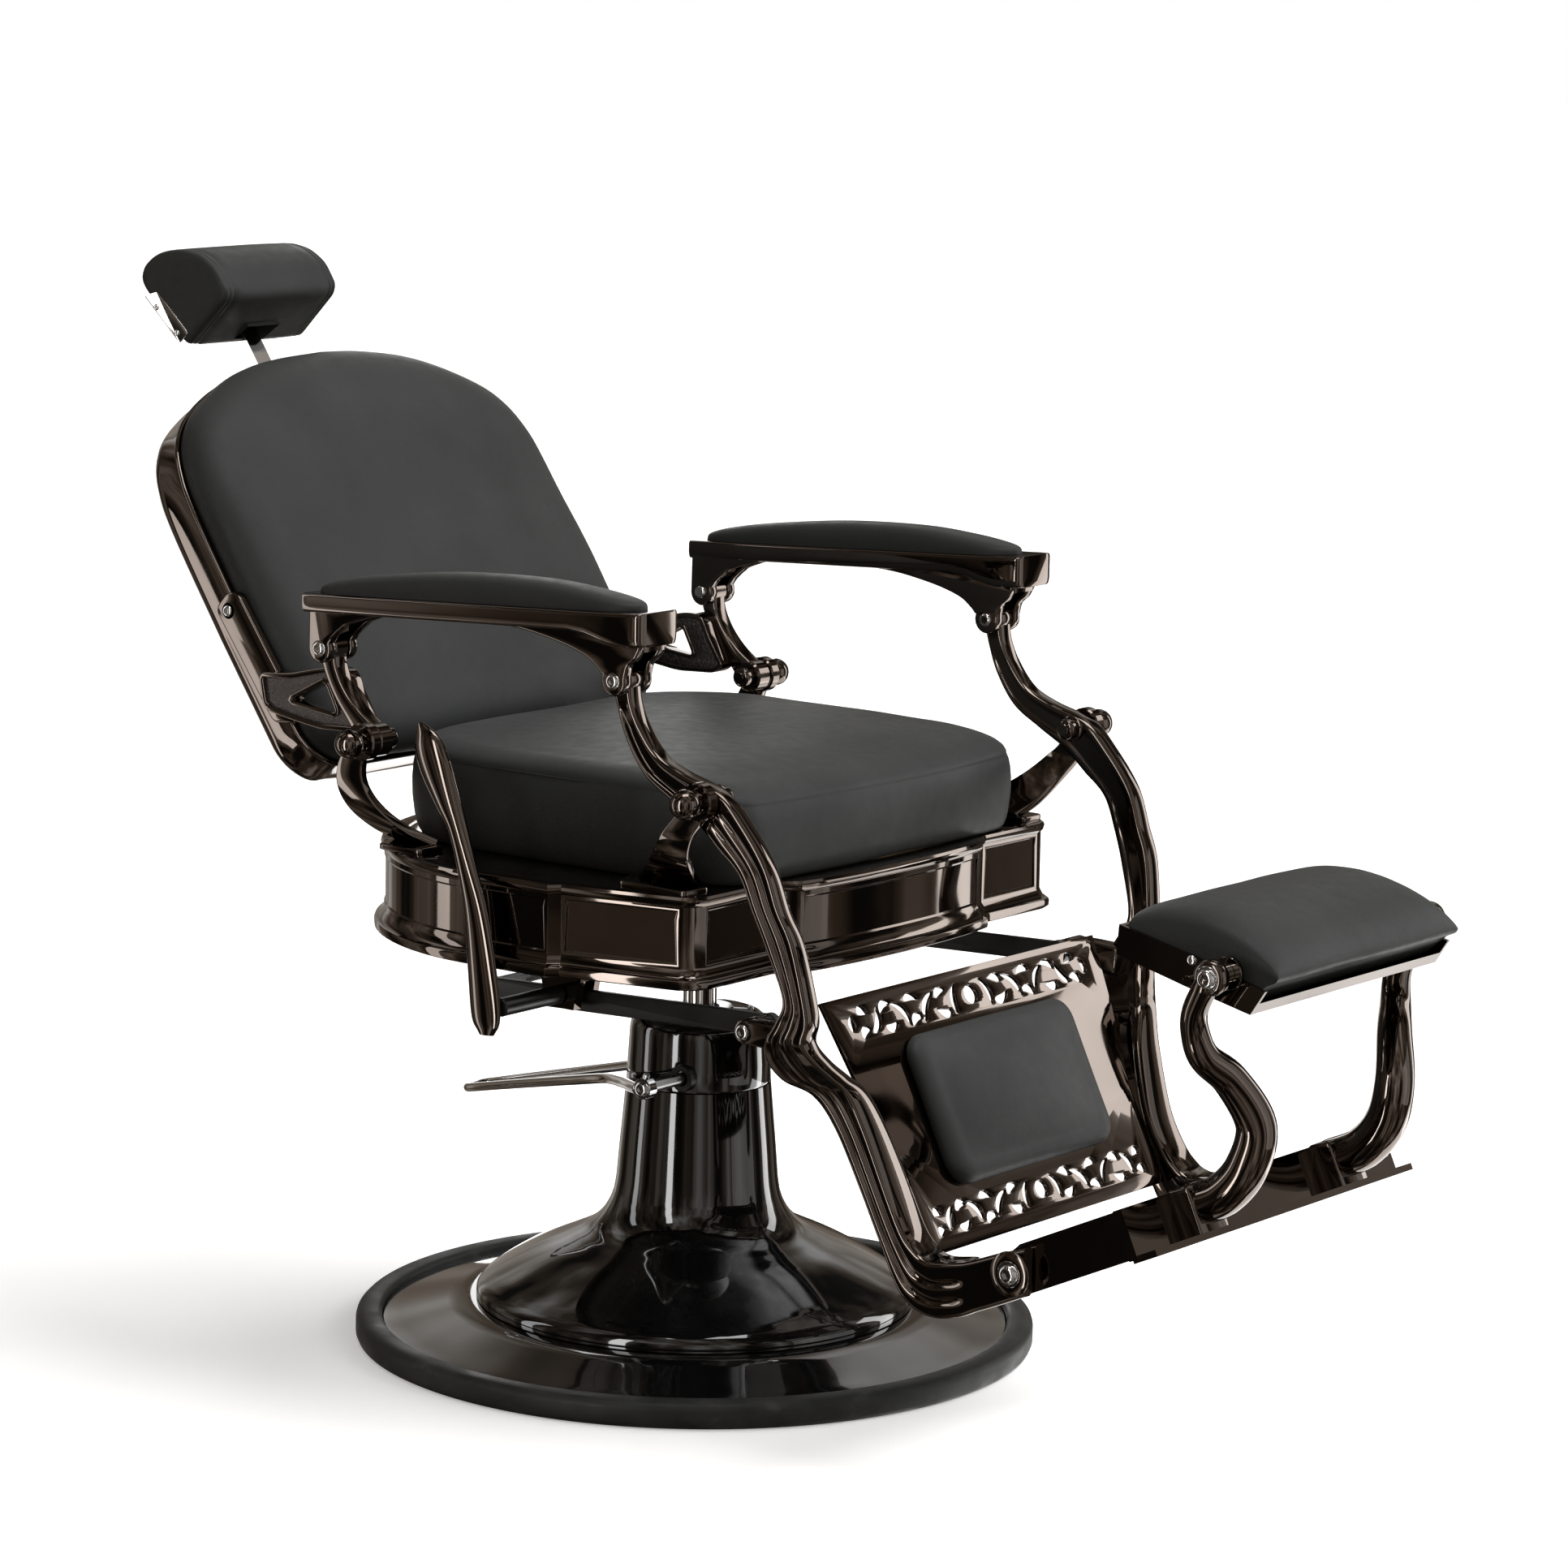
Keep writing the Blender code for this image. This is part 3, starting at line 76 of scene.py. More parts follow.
AZIMUTH, ELEVATION, ROLL = (math.radians(degrees) for degrees in (38, 9.749, 1.069))
CAMERA_DISTANCE, FOCAL_LENGTH, SENSOR_WIDTH = 5.2, 119.04, 36
CAMERA_SIDESTEP, AIM_HEIGHT = 0.08092, 0.57021
SUN_DIRECTION, SUN_STRENGTH, SUN_WIDTH = (-0.38, -0.48, -0.8), 3.8, math.radians(50)
FLOOR_SIZE, FLOOR_DROP, FLOOR_GREY, FLOOR_GLOW = 60, 0.0005, 0.92, 0.35
ROOM_STRENGTH, ROOM_SCALE, ROOM_STREAKS = 0.85, 3.4, (1.0, 1.0, 0.22)
ROOM_COLOURS = [
    (0.4, (0.02, 0.018, 0.016)),
    (0.52, (0.16, 0.125, 0.095)),
    (0.6, (0.42, 0.38, 0.34)),
    (0.72, (0.95, 0.94, 0.92)),
]

# Name, place, target, width, height, strength, seen in reflections, lights matt surfaces
SOFTBOXES = [
    ("near_strip", (0.02, -3.3, 0.45), (0, 0, 0.45), 0.5, 4.4, 42, True, False),
    ("front_strip", (1.55, 3.15, 0.45), (0, 0, 0.45), 0.8, 4.4, 34, True, True),
    ("room_panel", (3.6, 1.2, 0.6), (0, 0, 0.5), 2.6, 3.4, 14, True, True),
    ("front_fill", (3.6, -0.9, 1.9), (0, 0, 0.6), 1.5, 1.6, 18, False, True),
    ("left_strip", (-2.8, -2.0, 0.45), (0, 0, 0.45), 0.5, 4.4, 16, True, False),
    ("rear_strip", (-2.4, 2.6, 0.45), (0, 0, 0.45), 0.6, 4.4, 16, True, True),
    ("low_box", (0.6, 1.3, -0.9), (0.3, 0, 0.6), 2.0, 1.6, 22, True, False),
    ("top_box", (0.5, -0.4, 3.2), (0, 0, 0.4), 1.6, 1.0, 22, True, True),
]


def shown_in_scene(name, data):
    made = bpy.data.objects.new(name, data)
    bpy.context.scene.collection.objects.link(made)
    return made


def make_camera():
    """A long lens from the sitter's right front, slightly above, with a small roll."""
    level = math.cos(ELEVATION)
    back = Vector((math.sin(AZIMUTH) * level, -math.cos(AZIMUTH) * level, math.sin(ELEVATION)))
    right = Vector((math.cos(AZIMUTH), math.sin(AZIMUTH), 0))
    up = back.cross(right)
    rolled_right = right * math.cos(ROLL) + up * math.sin(ROLL)
    rolled_up = up * math.cos(ROLL) - right * math.sin(ROLL)
    place = back * CAMERA_DISTANCE + right * CAMERA_SIDESTEP + Vector((0, 0, AIM_HEIGHT))
    data = bpy.data.cameras.new("camera")
    data.lens, data.sensor_width = FOCAL_LENGTH, SENSOR_WIDTH
    made = shown_in_scene("camera", data)
    turn = Matrix((rolled_right, rolled_up, back)).transposed().to_4x4()
    made.matrix_world = Matrix.Translation(place) @ turn
    bpy.context.scene.camera = made


def make_softbox(name, place, target, width, height, strength, seen, lights):
    data = bpy.data.lights.new(name, "AREA")
    data.shape = "RECTANGLE"
    data.size, data.size_y = width, height
    data.energy = strength
    made = shown_in_scene(name, data)
    made.location = place
    made.rotation_euler = (Vector(target) - Vector(place)).to_track_quat("-Z", "Y").to_euler()
    made.visible_camera = False
    made.visible_glossy = seen
    made.visible_diffuse = lights


def make_world():
    """White to the camera, and a dim streaked room to everything else."""
    world = bpy.data.worlds.new("studio")
    bpy.context.scene.world = world
    world.use_nodes = True
    tree = world.node_tree
    tree.nodes.clear()
    rays = add_node(tree, "ShaderNodeLightPath")
    white = add_node(tree, "ShaderNodeBackground", {"Color": (1, 1, 1, 1), "Strength": 1.0})
    room = add_node(tree, "ShaderNodeBackground", {"Strength": ROOM_STRENGTH})
    place = add_node(tree, "ShaderNodeTexCoord").outputs["Generated"]
    walls = cloud(tree, place, ROOM_SCALE, 3.0, ROOM_STREAKS)
    mixed = add_node(tree, "ShaderNodeMixShader")
    out = add_node(tree, "ShaderNodeOutputWorld")
    tree.links.new(ramp(tree, walls, ROOM_COLOURS), room.inputs["Color"])
    tree.links.new(rays.outputs["Is Camera Ray"], mixed.inputs["Fac"])
    tree.links.new(room.outputs["Background"], mixed.inputs[1])
    tree.links.new(white.outputs["Background"], mixed.inputs[2])
    tree.links.new(mixed.outputs["Shader"], out.inputs["Surface"])


def make_studio():
    """White floor, streaked room, a wide sun and softboxes that draw the highlights."""
    bpy.context.scene.view_settings.view_transform = "Standard"
    make_world()
    bpy.ops.mesh.primitive_plane_add(size=FLOOR_SIZE, location=(0, 0, -FLOOR_DROP))
    floor = bpy.context.object
    floor.name = "floor"
    paper = blank(
        "paper_sweep",
        Base_Color=(FLOOR_GREY, FLOOR_GREY, FLOOR_GREY, 1),
        Roughness=0.9,
        Specular_IOR_Level=0.0,
        Emission_Color=(1, 1, 1, 1),
        Emission_Strength=FLOOR_GLOW,
    )[0]
    floor.data.materials.append(paper)
    floor.visible_glossy = False
    floor.visible_diffuse = False

    sun = bpy.data.lights.new("overhead", "SUN")
    sun.energy, sun.angle = SUN_STRENGTH, SUN_WIDTH
    lamp = shown_in_scene("overhead", sun)
    lamp.rotation_euler = Vector(SUN_DIRECTION).to_track_quat("-Z", "Y").to_euler()
    lamp.visible_glossy = False
    for row in SOFTBOXES:
        make_softbox(*row)


# ---------------------------------------------------------------- materials


def add_node(tree, kind, inputs=None, **settings):
    made = tree.nodes.new(kind)
    for name, value in settings.items():
        setattr(made, name, value)
    for name, value in (inputs or {}).items():
        made.inputs[name].default_value = value
    return made


def blank(name, **values):
    """A Principled material with plain values on its sockets, its tree, shader and coordinates."""
    made = bpy.data.materials.new(name)
    made.use_nodes = True
    tree = made.node_tree
    shader = tree.nodes["Principled BSDF"]
    for socket, value in values.items():
        shader.inputs[socket.replace("_", " ")].default_value = value
    place = add_node(tree, "ShaderNodeTexCoord")
    return made, tree, shader, place.outputs["Object"]


def cloud(tree, place, scale, detail=3.0, stretch=None):
    """Soft noise, scaled per metre, and stretched if asked."""
    if stretch:
        mapped = add_node(tree, "ShaderNodeMapping", {"Scale": stretch})
        tree.links.new(place, mapped.inputs["Vector"])
        place = mapped.outputs["Vector"]
    made = add_node(tree, "ShaderNodeTexNoise", {"Scale": scale, "Detail": detail})
    tree.links.new(place, made.inputs["Vector"])
    return made.outputs["Fac"]


def ramp(tree, factor, stops):
    """A colour ramp from (position, grey or colour) stops."""
    made = add_node(tree, "ShaderNodeValToRGB")
    elements = made.color_ramp.elements
    while len(elements) < len(stops):
        elements.new(0.5)
    for element, (position, colour) in zip(elements, stops):
        element.position = position
        element.color = (*colour, 1) if isinstance(colour, tuple) else (colour, colour, colour, 1)
    tree.links.new(factor, made.inputs["Fac"])
    return made.outputs["Color"]


def bump(tree, shader, height, strength, distance, before=None):
    made = add_node(tree, "ShaderNodeBump", {"Strength": strength, "Distance": distance})
    tree.links.new(height, made.inputs["Height"])
    if before:
        tree.links.new(before, made.inputs["Normal"])
    tree.links.new(made.outputs["Normal"], shader.inputs["Normal"])
    return made.outputs["Normal"]


def finish(name, colour, gloss, relief, **values):
    """A material from noise patterns: colour and gloss are (pattern, stops) or None.

    A pattern holds what cloud() takes after the place, and relief is (pattern, strength, distance).
    """
    made, tree, shader, place = blank(name, **values)
    for socket, layer in (("Base Color", colour), ("Roughness", gloss)):
        if layer:
            pattern, stops = layer
            tree.links.new(ramp(tree, cloud(tree, place, *pattern), stops), shader.inputs[socket])
    pattern, strength, distance = relief
    bump(tree, shader, cloud(tree, place, *pattern), strength, distance)
    return made


def leather():
    """Charcoal leather: fine pebbled grain, soft uneven gloss and slight colour change."""
    sheen = {"Sheen_Weight": 0.03, "Sheen_Roughness": 0.5}
    made, tree, shader, place = blank("charcoal_leather", Specular_IOR_Level=0.2, **sheen)
    cells = add_node(tree, "ShaderNodeTexVoronoi", {"Scale": 620.0}, feature="DISTANCE_TO_EDGE")
    tree.links.new(place, cells.inputs["Vector"])
    grain = ramp(tree, cells.outputs["Distance"], [(0.0, 0.0), (0.1, 1.0)])
    broad, fine = cloud(tree, place, 9.0), cloud(tree, place, 70.0)
    base = ramp(tree, broad, [(0.3, (0.025, 0.0268, 0.0264)), (0.72, (0.032, 0.034, 0.0335))])
    tree.links.new(base, shader.inputs["Base Color"])
    tree.links.new(ramp(tree, fine, [(0.3, 0.4), (0.75, 0.52)]), shader.inputs["Roughness"])
    first = bump(tree, shader, grain, 0.22, 0.0004)
    bump(tree, shader, fine, 0.1, 0.0012, first)
    return made


def plated(name, dark, light, smooth_gloss, smudged, ripple=0.04):
    """Plated metal: tint that drifts a little, smudges in the gloss and a cast ripple."""
    drift, smears = (6.0, 2.0), (22.0, 5.0, (1.0, 1.0, 0.45))
    tint = (drift, [(0.3, dark), (0.7, light)])
    gloss = (smears, [(0.4, smooth_gloss), (0.78, smudged)])
    return finish(name, tint, gloss, (drift, ripple, 0.004), Metallic=1.0)


make_camera()
make_studio()
LEATHER = leather()
ENAMEL = finish(
    "gloss_enamel",
    ((14.0, 2.0), [(0.3, (0.0035, 0.0035, 0.0038)), (0.7, (0.006, 0.006, 0.0062))]),
    ((55.0, 6.0), [(0.35, 0.035), (0.8, 0.12)]),
    ((14.0, 2.0), 0.05, 0.002),
    Coat_Weight=1.0,
    Coat_Roughness=0.03,
)
DARK_PLATE = plated("black_chrome_plate", (0.13, 0.108, 0.094), (0.17, 0.143, 0.126), 0.035, 0.11)
CHROME = plated("bright_chrome", (0.74, 0.74, 0.75), (0.8, 0.8, 0.8), 0.04, 0.14, 0.02)
STEEL = plated("brushed_plate_steel", (0.36, 0.36, 0.37), (0.46, 0.46, 0.46), 0.25, 0.42)
LUMPS = (420.0, 2.0)
CASTING = finish(
    "rough_casting",
    None,
    (LUMPS, [(0.35, 0.3), (0.7, 0.55)]),
    (LUMPS, 0.8, 0.0012),
    Metallic=1.0,
    Base_Color=(0.11, 0.097, 0.092, 1),
)
SCUFFS = (26.0, 9.0, (1.0, 1.0, 2.2))
SCUFF_COLOURS = [(0.36, (0.014, 0.015, 0.015)), (0.6, (0.028, 0.029, 0.028)), (0.8, (0.07, 0.07, 0.067))]
RUBBER = finish(
    "worn_rubber",
    (SCUFFS, SCUFF_COLOURS),
    (SCUFFS, [(0.3, 0.42), (0.8, 0.72)]),
    ((160.0,), 0.2, 0.0006),
    Specular_IOR_Level=0.35,
)
SATIN = finish(
    "satin_enamel",
    ((20.0,), [(0.3, 0.01), (0.7, 0.016)]),
    ((20.0,), [(0.3, 0.3), (0.7, 0.42)]),
    ((900.0, 2.0), 0.1, 0.0003),
    Specular_IOR_Level=0.5,
)
GRAIN = (30.0, 8.0, (0.15, 1.0, 6.0))
WOOD_COLOURS = [(0.35, (0.21, 0.13, 0.07)), (0.65, (0.42, 0.29, 0.17))]
PLYWOOD = finish("plywood_board", (GRAIN, WOOD_COLOURS), None, (GRAIN, 0.2, 0.0006), Roughness=0.6)
SPECKLE = (700.0, 2.0)
PLASTIC = finish(
    "moulded_plastic",
    (SPECKLE, [(0.3, 0.012), (0.7, 0.02)]),
    (SPECKLE, [(0.3, 0.38), (0.7, 0.5)]),
    (SPECKLE, 0.25, 0.0004),
    Specular_IOR_Level=0.45,
)
SLOT_SKIN = {
    "gloss_black": ENAMEL,
    "rubber": RUBBER,
    "black_chrome": DARK_PLATE,
    "chrome": CHROME,
    "steel": STEEL,
    "satin_black": SATIN,
    "leather": LEATHER,
    "plywood": PLYWOOD,
    "black_plastic": PLASTIC,
}
SKIN_SLOT = {skin.name: slot for slot, skin in SLOT_SKIN.items()}
SKIN_SLOT[CASTING.name] = "black_chrome"


# ---------------------------------------------------------------- outlines and lines


def arc(centre, radius, start, end, steps):
    """Points round part of a circle, with the angles in degrees."""
    angles = [math.radians(start + (end - start) * i / steps) for i in range(steps + 1)]
    return [(centre[0] + radius * math.cos(a), centre[1] + radius * math.sin(a)) for a in angles]


def mirrored_plan(half):
    """A closed plan from its left half, which starts and ends on the middle plane."""
    return half + [(x, -y) for x, y in reversed(half[1:-1])]


def smooth(points, steps):
    """A curve through the points (Catmull-Rom), read at equal steps between each two."""
    points = [Vector(p) for p in points]
    ends = [2 * points[0] - points[1], *points, 2 * points[-1] - points[-2]]
    read = []
    for a, b, c, d in zip(ends, ends[1:], ends[2:], ends[3:]):
        for i in range(steps):
            t = i / steps
            bend, twist = 2 * a - 5 * b + 4 * c - d, 3 * b - a - 3 * c + d
            read.append(b + 0.5 * ((c - a) * t + bend * t**2 + twist * t**3))
    return read + [points[-1]]


def smooth_rows(rows, steps):
    """The same for rows of more than three numbers."""
    columns = [smooth([(value, 0) for value in column], steps) for column in zip(*rows)]
    return [[spot.x for spot in row] for row in zip(*columns)]


def rounded(corners, radius, steps=3):
    """A closed outline or section with each corner eased over a distance."""
    corners = [Vector(c) for c in corners]
    eased = []
    for i, corner in enumerate(corners):
        before, after = corners[i - 1] - corner, corners[(i + 1) % len(corners)] - corner
        reach = min(radius, before.length * 0.48, after.length * 0.48)
        start, end = corner + before.normalized() * reach, corner + after.normalized() * reach
        for k in range(steps + 1):
            t = k / steps
            eased.append(start * (1 - t) ** 2 + corner * 2 * t * (1 - t) + end * t**2)
    return eased


def resampled(outline, count):
    """A closed outline read at equal distances."""
    points = [Vector(p) for p in outline]
    lengths = [(points[(i + 1) % len(points)] - points[i]).length for i in range(len(points))]
    step, read, i, walked = sum(lengths) / count, [], 0, 0.0
    for k in range(count):
        while walked + lengths[i] < k * step:
            walked += lengths[i]
            i += 1
        share = (k * step - walked) / lengths[i]
        read.append(points[i].lerp(points[(i + 1) % len(points)], share))
    return read


def offset(outline, distance):
    """The closed anticlockwise outline moved outwards, with mitred corners."""
    shifted = []
    for i, here in enumerate(outline):
        before, after = Vector(outline[i - 1]), Vector(outline[(i + 1) % len(outline)])
        here = Vector(here)
        first, second = (here - before).normalized(), (after - here).normalized()
        normal = Vector((first.y + second.y, -first.x - second.x)).normalized()
        stretch = max(normal.dot(Vector((second.y, -second.x))), 0.5)
        shifted.append(here + normal * distance / stretch)
    return shifted


def ramped(value, start, end):
    """0 before the start, 1 past the end, with a soft change between."""
    share = min(max((value - start) / (end - start), 0.0), 1.0)
    return share * share * (3 - 2 * share)


def band(centre_line, widths):
    """The outline of a strip that follows a centre line."""
    left, right = [], []
    for i, here in enumerate(centre_line):
        ahead = Vector(centre_line[min(i + 1, len(centre_line) - 1)])
        along = (ahead - Vector(centre_line[max(i - 1, 0)])).normalized() * widths[i] / 2
        left.append((here[0] - along.y, here[1] + along.x))
        right.append((here[0] + along.y, here[1] - along.x))
    return right + left[::-1]


# ---------------------------------------------------------------- shells


def loft(sections, closed=False):
    """A skin through sections with the same number of points, capped unless it closes on itself."""
    count = len(sections[0])
    points = [tuple(p) for section in sections for p in section]
    faces = []
    for r in range(len(sections) if closed else len(sections) - 1):
        low, high = r * count, (r + 1) % len(sections) * count
        for i in range(count):
            j = (i + 1) % count
            faces.append((low + i, low + j, high + j, high + i))
    if not closed:
        faces.append(tuple(range(count))[::-1])
        faces.append(tuple(range(len(points) - count, len(points))))
    return points, faces


def turned(profile, steps=128, closed=False):
    """A profile turned about Z. An entry is (radius, z), or (radius, z, sides) for a polygon there."""
    rings = []
    for radius, z, *sides in profile:
        ring = []
        for i in range(steps):
            angle = 2 * math.pi * i / steps
            reach = radius
            if sides:
                wedge = 2 * math.pi / sides[0]
                reach = radius * math.cos(wedge / 2) / math.cos(angle % wedge - wedge / 2)
            ring.append((reach * math.cos(angle), reach * math.sin(angle), z))
        rings.append(ring)
    return loft(rings, closed)


def placed(shell, matrix):
    points, faces = shell
    return [tuple(matrix @ Vector(p)) for p in points], faces


def facing(place, direction):
    """A frame at a place whose Z axis points along a direction."""
    turn = Vector(direction).to_track_quat("Z", "Y").to_matrix().to_4x4()
    return Matrix.Translation(place) @ turn


def outward(point, side, reach=0.0):
    """A frame on a hinge line at a reach, whose Z axis points away from the middle plane."""
    return facing((point[0], side * reach, point[1]), (0, side, 0))


def inward(point, side, reach):
    """The same, with its Z axis towards the middle plane."""
    return facing((point[0], side * reach, point[1]), (0, -side, 0))


def cylinder(point, side, inner, outer, radius, ease=0.0006, steps=40):
    """A rod along a hinge line between two reaches, with eased ends."""
    length = outer - inner
    ease = min(ease, radius * 0.4)
    profile = [(AXIS, 0), (radius - ease, 0), (radius, ease), (radius, length - ease)]
    profile += [(radius - ease, length), (AXIS, length)]
    return placed(turned(profile, steps), outward(point, side, inner))


def tube(point, side, inner, outer, bore, radius, ease=0.0006, steps=56):
    """A ring along a hinge line between two reaches."""
    length = outer - inner
    profile = [(bore, ease), (bore + ease, 0), (radius - ease, 0), (radius, ease)]
    profile += [(radius, length - ease), (radius - ease, length)]
    profile += [(bore + ease, length), (bore, length - ease)]
    return placed(turned(profile, steps, closed=True), outward(point, side, inner))


def socket_head(frame, radius, height, lip=0.0):
    """A domed bolt head with a hexagon socket, sitting on its frame's origin."""
    hexagon = radius * 0.46
    floor = height * 0.35
    profile = [(AXIS, floor), (hexagon, floor, 6), (hexagon, height * 0.93, 6), (radius * 0.6, height * 0.95)]
    for i in range(1, 7):
        angle = math.radians(90 * i / 6)
        reach = radius * (0.6 + 0.4 * math.sin(angle))
        profile.append((reach, height * (0.25 + 0.7 * math.cos(angle))))
    profile += [(radius, 0.0)]
    if lip:
        profile += [(radius + lip, 0.0), (radius + lip, -0.0008)]
    profile += [(AXIS, -0.0008)]
    return placed(turned(profile[::-1], 48), frame)


def cross_screw(frame, radius, height):
    """A small dome screw with a cross recess drawn as a sunk square."""
    profile = [(AXIS, height * 0.45), (radius * 0.3, height * 0.45, 4), (radius * 0.36, height * 0.95, 4)]
    profile += [(radius * (0.45 + 0.55 * math.sin(a)), height * math.cos(a)) for a in (0.4, 0.8, 1.2, 1.5)]
    profile += [(radius, -0.0006), (AXIS, -0.0006)]
    return placed(turned(profile[::-1], 32), frame)


def bar(points, radii, sides=20):
    """A round bar along a line, with a radius at each point."""
    points = [Vector(p) for p in points]
    normal = Vector((0, 1, 0))
    sections = []
    for i, here in enumerate(points):
        along = (points[min(i + 1, len(points) - 1)] - points[max(i - 1, 0)]).normalized()
        normal = (normal - along * normal.dot(along)).normalized()
        other = along.cross(normal)
        ring = []
        for k in range(sides):
            angle = 2 * math.pi * k / sides
            ring.append(here + radii[i] * (normal * math.cos(angle) + other * math.sin(angle)))
        sections.append(ring)
    return loft(sections)


def cage_of(shells):
    cage = bmesh.new()
    for points, faces in shells:
        verts = [cage.verts.new(p) for p in points]
        for face in faces:
            cage.faces.new([verts[i] for i in face])
    return cage


def shell_of(cage):
    """The shell of an editable mesh, which is freed."""
    cage.verts.index_update()
    points = [tuple(v.co) for v in cage.verts]
    faces = [tuple(v.index for v in face.verts) for face in cage.faces]
    cage.free()
    return points, faces


def slab(outlines, low, high, ease, matrix):
    """A flat shape with thickness and eased edges: the first outline is the edge, the others holes."""
    data = bpy.data.curves.new("outline", "CURVE")
    data.dimensions = "2D"
    data.fill_mode = "BOTH"
    data.extrude = (high - low) / 2 - ease
    data.bevel_depth = ease
    data.bevel_resolution = 2
    data.offset = -ease
    for outline in outlines:
        spline = data.splines.new("POLY")
        spline.points.add(len(outline) - 1)
        for point, (x, y, *_) in zip(spline.points, outline):
            point.co = (x, y, 0, 1)
        spline.use_cyclic_u = True
    source = bpy.data.objects.new("outline", data)
    bpy.context.scene.collection.objects.link(source)
    graph = bpy.context.evaluated_depsgraph_get()
    mesh = bpy.data.meshes.new_from_object(source.evaluated_get(graph))
    cage = bmesh.new()
    cage.from_mesh(mesh)
    bmesh.ops.remove_doubles(cage, verts=cage.verts, dist=1e-5)
    bpy.data.objects.remove(source)
    bpy.data.meshes.remove(mesh)
    return placed(shell_of(cage), matrix @ Matrix.Translation((0, 0, (low + high) / 2)))


def upright(side):
    """From a side profile's (x, z) and a reach to the chair."""
    return Matrix(((1, 0, 0, 0), (0, 0, side, 0), (0, 1, 0, 0), (0, 0, 0, 1)))


def plate(outline, side, inner, outer, holes=(), ease=0.0012):
    """A side profile given thickness between two reaches."""
    return slab([outline, *holes], inner, outer, ease, upright(side))


# ---------------------------------------------------------------- pieces


def mesh_of(name, shells):
    cage = cage_of(shells)
    bmesh.ops.remove_doubles(cage, verts=cage.verts, dist=2e-6)
    bmesh.ops.dissolve_degenerate(cage, edges=cage.edges, dist=1e-6)
    bmesh.ops.recalc_face_normals(cage, faces=cage.faces)
    made = bpy.data.meshes.new(name)
    cage.to_mesh(made)
    cage.free()
    return made


def piece(name, on_body, skin, shells, stands_for=(), sharp=32):
    """One finished piece: its shells in one mesh, its material, its body and the nodes it replaces."""
    mesh = mesh_of(name, shells)
    mesh.materials.append(skin)
    mesh.shade_smooth()
    mesh.set_sharp_from_angle(angle=math.radians(sharp))
    made = bpy.data.objects.new(name, mesh)
    bpy.context.scene.collection.objects.link(made)
    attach(made, on_body)
    if stands_for:
        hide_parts(*stands_for)
    return made


def padding(name, on_body, shells, stands_for):
    made = piece(name, on_body, LEATHER, shells, stands_for, sharp=60)
    return made


def bevelled(made, width, angle):
    """Eases the edges that turn by more than an angle in degrees."""
    modifier = made.modifiers.new("eased edges", "BEVEL")
    modifier.width, modifier.segments = width, 2
    modifier.limit_method, modifier.angle_limit = "ANGLE", math.radians(angle)
    modifier.harden_normals = True


def kept(node, ease=0.0):
    """A CAD node that stays, with the scene's material and softened edges."""
    shown = NODES[node]
    slot = next(s["material_slot"] for s in FRAME["record"]["subparts"] if s["node"] == node)
    shown.data.materials.clear()
    shown.data.materials.append(SLOT_SKIN[slot])
    if ease:
        bevelled(shown, ease, 35)
    shown.data.shade_smooth()
    shown.data.set_sharp_from_angle(angle=math.radians(35))


# ---------------------------------------------------------------- base and pump


FLOOR_STEPS, COVER_STEPS = 192, 160
LID_SCREWS, LID_SCREW_CIRCLE = 4, 0.052


def make_base():
    lip = [(AXIS, 0.04), (0.225, 0.04), (0.24, 0.0387), (0.252, 0.0355), (0.276, 0.0294)]
    lip += [(0.3, 0.0235), (0.312, 0.0209), (0.3168, 0.0196), (0.3177, 0.018), (0.3177, 0.001)]
    lip += [(0.3165, 0), (0.3, 0), (0.292, 0.017), (0.225, 0.032), (0.085, 0.032), (0.075, 0), (AXIS, 0)]
    piece("base_plate_shell", "base", ENAMEL, [turned(lip, FLOOR_STEPS)], ["base_plate"], sharp=40)
    ring = [(0.32, 0.0245), (0.3235, 0.026), (0.336, 0.0262), (0.3405, 0.025), (0.344, 0.0215)]
    ring += [(0.345, 0.018), (0.345, 0.005), (0.3435, 0.0015), (0.3405, 0), (0.3188, 0), (0.3183, 0.022)]
    piece("floor_ring", "base", RUBBER, [turned(ring, FLOOR_STEPS, closed=True)], ["base_ring"], sharp=50)


def make_shroud():
    """Tapered column that turns through a tight collar into the round bell over the base."""
    column = smooth([(0.0735, 0.2655), (0.0764, 0.232), (0.0797, 0.196), (0.0822, 0.166), (0.0845, 0.151)], 5)
    sweep = smooth([(0.0845, 0.151), (0.0885, 0.14), (0.096, 0.1275), (0.108, 0.1165), (0.128, 0.1065)], 6)
    bell = smooth([(0.128, 0.1065), (0.153, 0.095), (0.178, 0.0815), (0.201, 0.0675), (0.215, 0.0575)], 5)
    edge = [(0.22, 0.053), (0.2226, 0.049), (0.223, 0.045), (0.223, 0.0412), (0.219, 0.0405)]
    outer = column + sweep[1:] + bell[1:] + edge
    inner = [(0.2185, 0.049), (0.2, 0.064), (0.13, 0.101), (0.1, 0.115), (0.086, 0.133)]
    inner += [(0.08, 0.153), (0.076, 0.202), (0.0695, 0.2655)]
    cover = turned(outer + inner, COVER_STEPS, closed=True)
    piece("pedestal_bell", "base", ENAMEL, [cover], ["pedestal_shroud"], 40)


